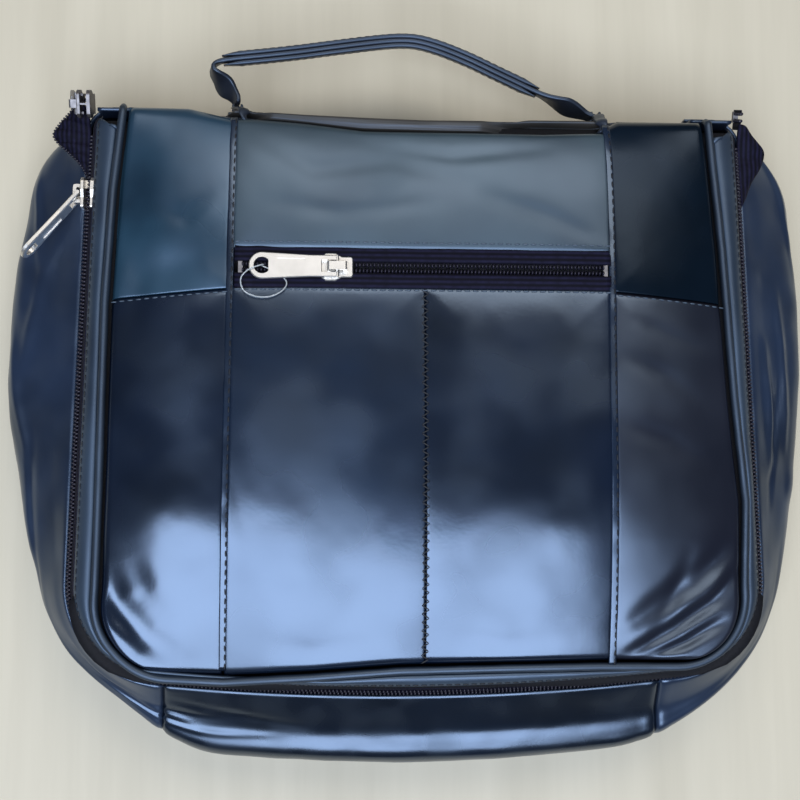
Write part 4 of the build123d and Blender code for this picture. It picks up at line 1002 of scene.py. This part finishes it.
def build_main_zip():
    columns = CHAIN_COLUMNS
    tape_along("body_zip_tape_woven", [-0.2, 0.5, 1.2, 1.5, 1.4], [49.0, 48.0, 46.6, 44.5, 41.5],
               "root", "body_zip_tape", columns)
    tape_along("lid_zip_tape_woven", [-5.0, -4.2, -3.4, -2.2, -1.2, -0.7],
               [57.3, 56.6, 55.6, 54.0, 52.6, 51.8], "lid", "lid_zip_tape", LID_COLUMNS)
    run, out = ZIP_RUN[columns], ZIP_OUT[columns]
    tilt_out = np.column_stack([out * 0.8, np.full(len(run), 0.6)])
    lid_row = np.column_stack([run - out * 0.35, np.full(len(run), 51.2)])
    body_row = np.column_stack([run + out * 0.75, np.full(len(run), 49.1)])
    coil = beads("lid_zip_coil_turns", [(lid_row, tilt_out)], *COIL_TURNS, slant=0.1)
    settle(coil, "lid", "lid_zip_coil")
    eye = smooth_path(EYE_COIL, 1.2)
    edge = beads("zip_coil_open_end", [(eye[::-1], (-0.5, 0.3, 0.8))], 1.15, 1.0, 1.25, 1.3, COIL)
    settle(edge, "root")
    on_zip = (run[:, 0] >= 0) | (run[:, 1] < 78.0)  # above that the left side's coil stands open
    coil = beads("body_zip_coil_turns", [(body_row[on_zip], tilt_out[on_zip])], *COIL_TURNS, slant=-0.1)
    settle(coil, "root", "body_zip_coil")
    left = smooth_path([(-123.2, 79, 48.5), (-123.0, 88, 49.0), (-122.9, 96, 50.0), (-123.6, 104, 51.6)])
    pleated_flap("body_zip_tape_open_end", left, eye, 7)
    right = smooth_path([(124.6, 72.0, 48.6), (123.8, 84.0, 49.0), (123.2, 95.0, 50.0), (123.6, 104, 51.6)])
    folded = smooth_path([(126.0, 73.0, 48.2), (130.0, 82.0, 48.2), (134.9, 92.0, 49.0),
                          (131.5, 97.5, 50.2), (127.5, 103.0, 51.0)])
    pleated_flap("body_zip_tape_right_fold", right, folded, 3)


def pleated_flap(name, inner, outer, pleats):
    """Tape between the zip line and a run outside it, gathered in pleats."""
    count = 40
    at = np.linspace(0, 1, count)
    a = inner[np.round(at * (len(inner) - 1)).astype(int)]
    b = outer[np.round(at * (len(outer) - 1)).astype(int)]
    shares = np.linspace(0, 1, 14)
    grid = a[None] + (b - a)[None] * shares[:, None, None]
    grid[..., 2] += 0.75 * np.sin(at * np.pi * 2 * pleats)[None] * shares[:, None] ** 0.7 * np.sin(
        np.pi * (0.1 + 0.8 * at))[None]
    grid[..., 2] += 1.2 * np.sin(np.pi * shares)[:, None]
    laid_sheet(name, grid, THIN, TAPE, UP, "root")


def build_zip_tails():
    """The ends of the main zip, turned down over the top corners."""
    down = np.array([0.0, math.cos(math.radians(70)), -math.sin(math.radians(70))])
    for sign, word in SIDES:
        origin = np.array([sign * 124.56, 106.0, 53.5])
        out = np.array([sign, 0.0, 0.0])
        across = np.cross(out, down)
        parts = []
        for row in (-1, 1):
            lengths = np.linspace(0.5, 8.4, 10)
            widths = np.array([2.0, 2.8, 3.8, 4.8])
            if row * across[1] > 0:
                widths = 2.0 + (widths - 2.0) * 0.3  # this edge is folded under
            grid = origin + lengths[None, :, None] * down + row * widths[:, None, None] * across
            parts.append(leather_sheet(f"tail_{word}_{row}", grid, THIN, TAPE, looks_along(grid, out)))
        tape = joined(f"zip_tail_{word}_tape", parts)
        settle(tape, "root", f"zip_tail_{word}")
        runs = []
        for row in (-1, 1):
            ends = [origin + 1.4 * down + row * 1.35 * across, origin + 7.0 * down + row * 1.35 * across]
            runs.append((resampled(ends, 1.0), out))
        coil = beads(f"zip_tail_{word}_coil", runs, 1.4, 1.05, 1.5, 1.9, COIL)
        settle(coil, "root")


# ---------------------------------------------------------------- top, back and inside


def rim_y(x):
    """The rim of the panel under the handle, where it turns over towards the lid."""
    return np.interp(x, [-107, -85, -62, -44, 0, 60, 107],
                     [102.4, 102.4, 102.2, 101.4, 100.3, 100.9, 100.8])


def build_top():
    xs = np.linspace(-TOP_HALF - 2.5, TOP_HALF + 2.5, 130)
    shares = np.concatenate([np.linspace(0, 0.92, 26), [0.95, 0.975, 0.99, 1.0]])
    rim_z = np.interp(xs, [-107, -104, -80, -76, -60, -54, 24, 34, 66, 72, 104, 107],
                      [54.5, 56.5, 56.5, 53.5, 53.5, 58.6, 58.6, 54.5, 53.5, 56.5, 56.5, 54.5])
    z = 2.2 + (rim_z[None] - 2.2) * shares[:, None]
    bulge = 1.6 * np.sin(np.pi * shares)[:, None]
    lean = (rim_y(xs) - TOP_PLANE_Y)[None] * np.clip((shares - 0.45) / 0.55, 0, 1)[:, None] ** 1.6
    wave = 0.5 * ripple(xs[None], z, 24, 41) + 0.2 * ripple(xs[None], z, 9, 42)
    grid = grid_of(xs, TOP_PLANE_Y + bulge + lean + wave * np.sin(np.pi * shares)[:, None], z)
    # the panel's grey-brown leather colour is a painted sheen
    laid_sheet("top_panel_leather", grid, 1.2, FOLD, HANDLE_WARD, "root", "top_panel")
    inner = grid[1:-3, ::3].copy()
    inner[..., 1] -= 2.1
    laid_sheet("top_lining_cloth", inner, THIN, LINING, HANDLE_WARD, "root", "top_lining")


def build_fold():
    """The strip that the lid turns on, shaped as a bent fold and finely divided across."""
    ys = np.linspace(0, 1, 31)
    xs = np.linspace(-TOP_HALF, TOP_HALF, 160)
    start, stop = top_edge_y(xs) - 1.4, rim_y(xs) + 0.5
    dip = np.interp(ys, [0, 0.1, 0.24, 0.38, 0.6, 0.8, 0.93, 1.0],
                    [52.5, 53.0, 57.0, 60.2, 60.9, 60.6, 59.6, 57.2])
    hollow = np.interp(xs, [-84, -77, -65, -56, 22, 42, 67, 72], [3.6, 10, 10, 0, 0, 10, 10, 3.6])
    sunk = np.interp(ys, [0, 0.75, 0.93, 1.0], [1.0, 1.0, 0.35, 0.0])
    sunk_sides = np.interp(np.abs(xs), [70, 76], [0, 1])
    lowest = 49.0
    height = dip[:, None] - hollow[None] * (sunk[:, None] * (1 - sunk_sides) + sunk_sides)
    fold = grid_of(xs, start[None] + (stop - start)[None] * ys[:, None], np.maximum(height, lowest))
    stripes = 0.22 * ripple(xs[None] * 0.25 + 40 * ys[:, None], ys[:, None] * 60, 9, 43)
    swells = 0.25 * ripple(xs[None], ys[:, None] * 30, 12, 44)
    fold[..., 2] += (stripes + swells) * np.sin(np.pi * ys)[:, None]
    piece = leather_sheet("fold_between_lid_and_top", fold, 0.9, FOLD, looks_along(fold, UP))
    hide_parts("fold_strip")
    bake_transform(piece)


def build_corner_tabs():
    """The leather that closes the top's two corners beside the rim."""
    for sign, word in SIDES:
        xs = np.linspace(TOP_HALF + 0.2, 120.2, 10) * sign
        zs = np.linspace(43.9, 54.0, 8)
        bulge = 0.5 * np.sin(np.linspace(0, np.pi, len(zs)))
        grid = grid_of(xs, TOP_PLANE_Y + bulge[:, None], zs[:, None])
        laid_sheet(f"corner_tab_{word}_leather", grid, 1.2, GUSSET, HANDLE_WARD, "root",
                   f"corner_tab_{word}")


def plate(name, line, low, high, material, round_edge=0.5):
    """A flat sheet with a rounded rim, filled in rings to its middle."""
    rim = outline(line, 0.0, 2.5)[:-1]
    centre = np.array([0.0, -10.0])
    levels = [(0.6, low), (0.92, low), (0.995, low), (1.0, low + round_edge),
              (1.0, high - round_edge), (0.995, high), (0.92, high), (0.6, high)]
    rings = np.array([np.column_stack([centre + (rim - centre) * share, np.full(len(rim), z)])
                      for share, z in levels])
    return closed_rings(name, rings, [[*centre, low], [*centre, high]], material)


def build_back():
    """The back panel with its piping, and the lining of the floor."""
    back = plate("back_panel_leather", BACK_LINE, 0.0, BACK_THICK, GUSSET)
    settle(back, "root", "back_panel")
    line = outline(grown(BACK_LINE, 2.35), 0.0, 2.0)[:-1]
    path = np.column_stack([line, np.full(len(line), 1.75)])
    piece = tube("back_piping_cord", path, 1.6, PIPING, 10, closed=True)
    settle(piece, "root", "back_piping")
    floor = plate("floor_lining_cloth", grown(BACK_LINE, -4.0), 3.3, 3.9, LINING, 0.2)
    settle(floor, "root", "floor_lining")


def build_lid_inside():
    """The lid's cloth lining, its padding and the pocket's bag."""
    ys = np.linspace(98.5, -108.0, 60)
    rows = []
    corner, corner_x, corner_y = 29.0, 97.0, -76.0
    for y in ys:
        share = (104.5 - y) / 205.5
        half = 122.5 + 5.5 * share - 4.6
        if y < corner_y:
            inside = y > corner_y - corner + 0.1
            half = corner_x + math.sqrt(corner ** 2 - (corner_y - y) ** 2) if inside else 60.0
        rows.append(np.linspace(-half, half, 70))
    x, y = np.array(rows), ys[:, None]
    grid = grid_of(x, y, 56.6 - 0.4 + 0.25 * ripple(x, y, 30, 51))
    laid_sheet("lid_lining_cloth", grid, THIN, LINING, DOWN, "lid", "lid_lining")
    xs, ys = np.linspace(-95, 95, 60), np.linspace(-86, 86, 56)
    x, y = np.meshgrid(xs, ys)
    soft = np.clip(1 - np.abs(x / 95.0) ** 6, 0, 1) * np.clip(1 - np.abs(y / 86.0) ** 6, 0, 1)
    upper = grid_of(x, y, 57.2 + (lid_height(x, y) - 6.6 - 57.2) * np.clip(soft, 0.05, 1))
    lower = grid_of(x, y, 57.1)
    points = np.concatenate([upper.reshape(-1, 3), lower.reshape(-1, 3)])
    count = x.size
    faces = grid_faces(*x.shape, 0) + grid_faces(*x.shape, count, flip=True)
    faces += [[b, a, a + count, b + count] for a, b in rim_edges(*x.shape)]
    pad = make_piece("lid_padding_foam", points, faces, FOAM)
    mend_normals(pad)
    settle(pad, "lid", "lid_foam")
    xs, ys = np.linspace(-62, 62, 50), np.linspace(36, -78, 48)
    x, y = np.meshgrid(xs, ys)
    bag = grid_of(x, y, lid_height(x, y) - 3.2)
    laid_sheet("pocket_bag_cloth", bag, 1.0, LINING, UP, "lid", "pocket_bag")


# ---------------------------------------------------------------- handle

HANDLE_Z = 42.0
HANDLE_RUN = [
    (-69.5, 110.9), (-70.4, 113.6), (-73.6, 117.4), (-77.2, 120.8), (-79.0, 124.2), (-77.6, 127.2),
    (-73.0, 128.6), (-58.0, 130.6), (-45.7, 132.3), (-30.0, 134.8), (-15.0, 137.0), (-6.0, 137.8),
    (1.0, 137.3), (10.0, 134.8), (20.6, 130.6), (30.0, 126.2), (40.3, 121.4), (53.3, 115.2),
    (62.0, 111.4), (67.0, 109.2), (70.0, 108.4),
]
HANDLE_LEAN_TO = (-37.5, -42.8, 477.0)


def strap_side(path):
    """Level unit vectors across the handle's run."""
    along = unit(np.gradient(path, axis=0))
    return np.column_stack([-along[:, 1], along[:, 0], np.zeros(len(path))])


def twisted(side, up, twist):
    """The directions through a strap and across it, turned about its run."""
    c, s = np.cos(twist)[:, None], np.sin(twist)[:, None]
    return side * c + up * s, up * c - side * s


def strap_sweep(name, path, width, thick, middle, material, twist, round_share=0.42):
    """A flat strap along a path in the handle's plane, with rounded edges."""
    level = strap_side(path)
    side, up = twisted(level, np.tile([0.0, 0.0, 1.0], (len(path), 1)), twist)
    half_t = np.broadcast_to(thick, (len(path),)) / 2
    half_w = np.broadcast_to(width, (len(path),)) / 2
    profile = []
    for turn in np.linspace(0, 2 * np.pi, 24, endpoint=False):
        c, s = math.cos(turn), math.sin(turn)
        profile.append((np.sign(c) * abs(c) ** round_share, np.sign(s) * abs(s) ** 0.25))
    profile = np.array(profile)
    centre = np.column_stack([path + level[:, :2] * middle, np.full(len(path), HANDLE_Z)])
    rings = centre[:, None] + side[:, None] * (profile[None, :, 0] * half_t[:, None])[..., None] \
        + up[:, None] * (profile[None, :, 1] * half_w[:, None])[..., None]
    return closed_rings(name, rings, [centre[0], centre[-1]], material)


def strap_lean(path):
    """The strap leans over as it lies, so that mostly its edges show from above."""
    along = unit(np.gradient(path, axis=0))
    toward = np.array(HANDLE_LEAN_TO[:2]) - path
    across = toward[:, 1] * along[:, 0] - toward[:, 0] * along[:, 1]
    return -np.arctan(across / (HANDLE_LEAN_TO[2] - HANDLE_Z)) * 0.9


def build_handle():
    path = smooth_path([(x, y, 0.0) for x, y in HANDLE_RUN], 1.2)[:, :2]
    length = run_length(path)
    from_end = np.minimum(length, length[-1] - length)
    width = np.interp(from_end, [0, 4.5, 13, 20], [7.0, 7.0, 14.0, 15.0])
    left_turn = 0.85 * np.exp(-((length - 7.0) / 6.0) ** 2)
    right_turn = 0.5 * np.exp(-((length[-1] - length - 9.0) / 9.0) ** 2)
    twist = strap_lean(path) + left_turn - right_turn
    thick = np.interp(from_end, [0, 4, 10], [1.7, 1.9, 2.0])
    strap = strap_sweep("handle_strap_leather", path, width, thick, 0.0, STRAP, twist)
    settle(strap, "handle", "handle_strap")
    inside = (path[:, 0] > -76.0) & (path[:, 1] > 117.0) & (path[:, 0] < 48.0)
    inside &= ~((path[:, 0] < -70.0) & (path[:, 1] < 127.0))
    grip = path[inside]
    span = np.linspace(0, 1, len(grip))
    taper = np.clip(np.minimum(span, 1 - span) / 0.05, 0.12, 1) ** 0.7
    for sign, word in ((-1, "outer"), (1, "inner")):
        wave = 0.12 * ripple(np.arange(len(grip)) * 1.2, np.full(len(grip), sign * 9.0), 14, 61)
        pad = strap_sweep(f"handle_pad_{word}_leather", grip, 14.6 + wave * 2, (1.8 + wave) * taper,
                          sign * -1.86, STRAP, strap_lean(grip), 0.3)
        settle(pad, "handle", f"handle_pad_{word}")
    grip_runs = []
    flat, upright = twisted(strap_side(grip), np.array([[0.0, 0.0, 1.0]]), strap_lean(grip))
    middle = np.column_stack([grip, np.full(len(grip), HANDLE_Z)])
    for face in (-1, 1):
        for edge in (-5.9, 5.9):
            run = middle + flat * face * 2.56 + upright * edge
            grip_runs.append((run[6:-6], (flat * face)[6:-6]))
    stitches = beads("stitches_on_handle", grip_runs, 3.0, 2.2, 0.6, 0.3, THREAD_DARK, wander=0.05, seed=9)
    settle(stitches, "handle")


def soft_block(name, low, high, material, bevel=0.5):
    """A small leather block with well rounded edges."""
    work = bmesh.new()
    bmesh.ops.create_cube(work, size=1.0)
    low, high = np.array(low, float), np.array(high, float)
    for v in work.verts:
        v.co = Vector(((low + high) / 2 + np.array(v.co) * (high - low)).tolist()) * MM
    bmesh.ops.bevel(work, geom=work.edges[:], offset=bevel * MM, segments=3, profile=0.6, affect="EDGES")
    mesh = bpy.data.meshes.new(name)
    work.to_mesh(mesh)
    work.free()
    mesh.materials.append(material)
    mesh.shade_smooth()
    return linked(name, mesh)


def build_handle_tabs():
    """The straps' sewn-in ends: two cheeks at the handle's root and a ribbon over the rim into the fold."""
    for x, word, lean in ((-69.5, "left", 4.6), (70.0, "right", -2.6)):
        cheeks = [soft_block(f"cheek_{at}", (at - 0.5, 105.4, 39.6), (at + 0.5, 111.0, 42.8), STRAP, 0.4)
                  for at in (x - 1.6, x + 1.6)]
        foot = soft_block("foot", (x - 3.4, 105.2, 37.2), (x + 3.4, 106.7, 46.0), STRAP, 0.6)
        rim = float(rim_y(x + lean * 0.8))
        spine = smooth_path([(x, 108.6, 44.5), (x + lean * 0.25, 107.4, 49.0),
                             (x + lean * 0.6, rim + 3.0, 54.5), (x + lean * 0.8, rim + 1.0, 59.2),
                             (x + lean * 0.9, rim - 1.2, 60.3), (x + lean, rim - 3.2, 58.6),
                             (x + lean, rim - 4.4, 55.0)], 0.6)
        along = unit(np.gradient(spine, axis=0))
        across = unit(np.cross(along, np.array([0.35 * np.sign(lean), 1.0, 0.8])))
        shares = np.array([-1.0, -0.93, -0.6, 0.0, 0.6, 0.93, 1.0])
        bowed = np.array([-0.5, -0.1, 0.25, 0.4, 0.25, -0.1, -0.5])
        face = unit(np.cross(across, along))
        face *= np.where(face[:, 1:2] * 0.6 + face[:, 2:3] * 0.8 < 0, -1, 1)
        grid = spine[None] + across[None] * (shares * 2.3)[:, None, None] \
            + face[None] * bowed[:, None, None]
        ribbon = leather_sheet("ribbon", grid, 1.2, STRAP, looks_along(grid, face[len(spine) // 2]))
        piece = joined(f"handle_tab_{word}_leather", [*cheeks, foot, ribbon])
        settle(piece, "root", f"handle_tab_{word}")


# ---------------------------------------------------------------- carried-over parts

CAD_FINISHES = {
    NICKEL: ("main_slider", "main_pull", "pocket_slider", "pocket_pull"),
    NICKEL_WORN: ("end_slider", "end_pull", "main_zip_stops", "pocket_zip_stops"),
    BOARD: ("back_stiffener",),
}


def dress_cad():
    for material, names in CAD_FINISHES.items():
        for name in names:
            piece = nodes[name]
            piece.data.materials.clear()
            piece.data.materials.append(material)


def build_tag_loop():
    hole = np.array([-58.1, POCKET_ZIP_Y, 72.196])  # the middle of the pull's hole
    steps = [
        (0, 0, 0.05), (0.2, 0.1, 1.3), (-4.4, -1.6, 1.4), (-7.4, -4.6, 0.2), (-6.6, -8.6, -1.05),
        (-2.6, -10.8, -1.15), (2.6, -10.9, -1.15), (7.0, -8.8, -1.15), (8.6, -5.6, -1.15),
        (5.0, -2.0, -1.15), (0.4, -0.1, -1.1), (0, 0, -0.05),
    ]
    path = smooth_path([hole + np.array(s) for s in steps], 0.5)
    piece = tube("tag_loop_filament", path, 0.25, CLEAR, 8)
    settle(piece, "pocket_pull", "tag_loop")


# ---------------------------------------------------------------- floor, lights and camera


def build_stage():
    """A pale wooden table top, softly lit."""
    mesh = bpy.data.meshes.new("table_top")
    half = 4.0
    mesh.from_pydata([(x * half, y * half, 0) for x, y in ((-1, -1), (1, -1), (1, 1), (-1, 1))], [],
                     [(0, 1, 2, 3)])
    floor = linked("table_top", mesh)
    material, tree, shader = new_material("maple_laminate_matt")
    place = add(tree, "ShaderNodeTexCoord").outputs["Object"]
    stretched = add(tree, "ShaderNodeMapping", {"Vector": place, "Scale": (1.0, 0.06, 1.0)})
    grain = noise(tree, stretched.outputs["Vector"], 22.0, 5.0, Roughness=0.6)
    fill(shader, {"Base Color": two_tone(tree, grain, "#bbb4a0", "#c8c1ad"), "Roughness": 0.55})
    mesh.materials.append(material)

    def soft_light(name, place, size, power, colour, aim=(0, 0, 0.05)):
        lamp = bpy.data.lights.new(name, "AREA")
        lamp.shape = "RECTANGLE"
        lamp.size, lamp.size_y = size
        lamp.energy = power
        lamp.color = linear(colour)[:3]
        light = linked(name, lamp)
        light.location = place
        light.rotation_mode = "QUATERNION"
        light.rotation_quaternion = (Vector(aim) - Vector(place)).to_track_quat("-Z", "Y")

    soft_light("window_softbox", (-0.24, -0.97, 1.95), (2.0, 1.3), 63.0, "#e4eeff")
    soft_light("top_softbox", (0.3, 1.2, 1.9), (2.0, 1.2), 24.0, "#fff8ee")
    world = bpy.data.worlds.new("studio")
    world.use_nodes = True
    tree = world.node_tree
    tree.nodes.clear()
    plain = add(tree, "ShaderNodeBackground", {"Color": linear("#c6d6f6"), "Strength": 0.12})
    add(tree, "ShaderNodeOutputWorld", {"Surface": plain.outputs["Background"]})
    bpy.context.scene.world = world
    bpy.context.scene.view_settings.view_transform = "Standard"


def build_camera():
    """The photograph's view: from above, a little towards the bottom left, turned about all axes."""
    turns = zip((0.0914, -0.0693, -0.0025), "XYZ")
    about_x, about_y, about_z = (Matrix.Rotation(angle, 3, axis) for angle, axis in turns)
    rotation = about_z @ about_y @ about_x
    looked_at, distance = Vector((-8.44, -4.53, 60.0)), 420.09
    centre = looked_at + rotation @ Vector((0.0, 0.0, distance))
    focal_pixels, photo_pixels = 1155.0, 800.0
    data = bpy.data.cameras.new("camera")
    data.sensor_width = 36.0
    data.lens = data.sensor_width * focal_pixels / photo_pixels
    data.clip_start = 0.01
    camera = linked("camera", data)
    camera.matrix_world = Matrix.Translation(centre * MM) @ rotation.to_4x4()
    bpy.context.scene.camera = camera


build_stage()
build_camera()
build_lid()
build_seam_strips()
build_lid_stitches()
build_pocket_zip()
build_piping()
build_gussets()
build_band()
build_main_zip()
build_zip_tails()
build_top()
build_fold()
build_corner_tabs()
build_back()
build_lid_inside()
build_handle()
build_handle_tabs()
build_tag_loop()
dress_cad()
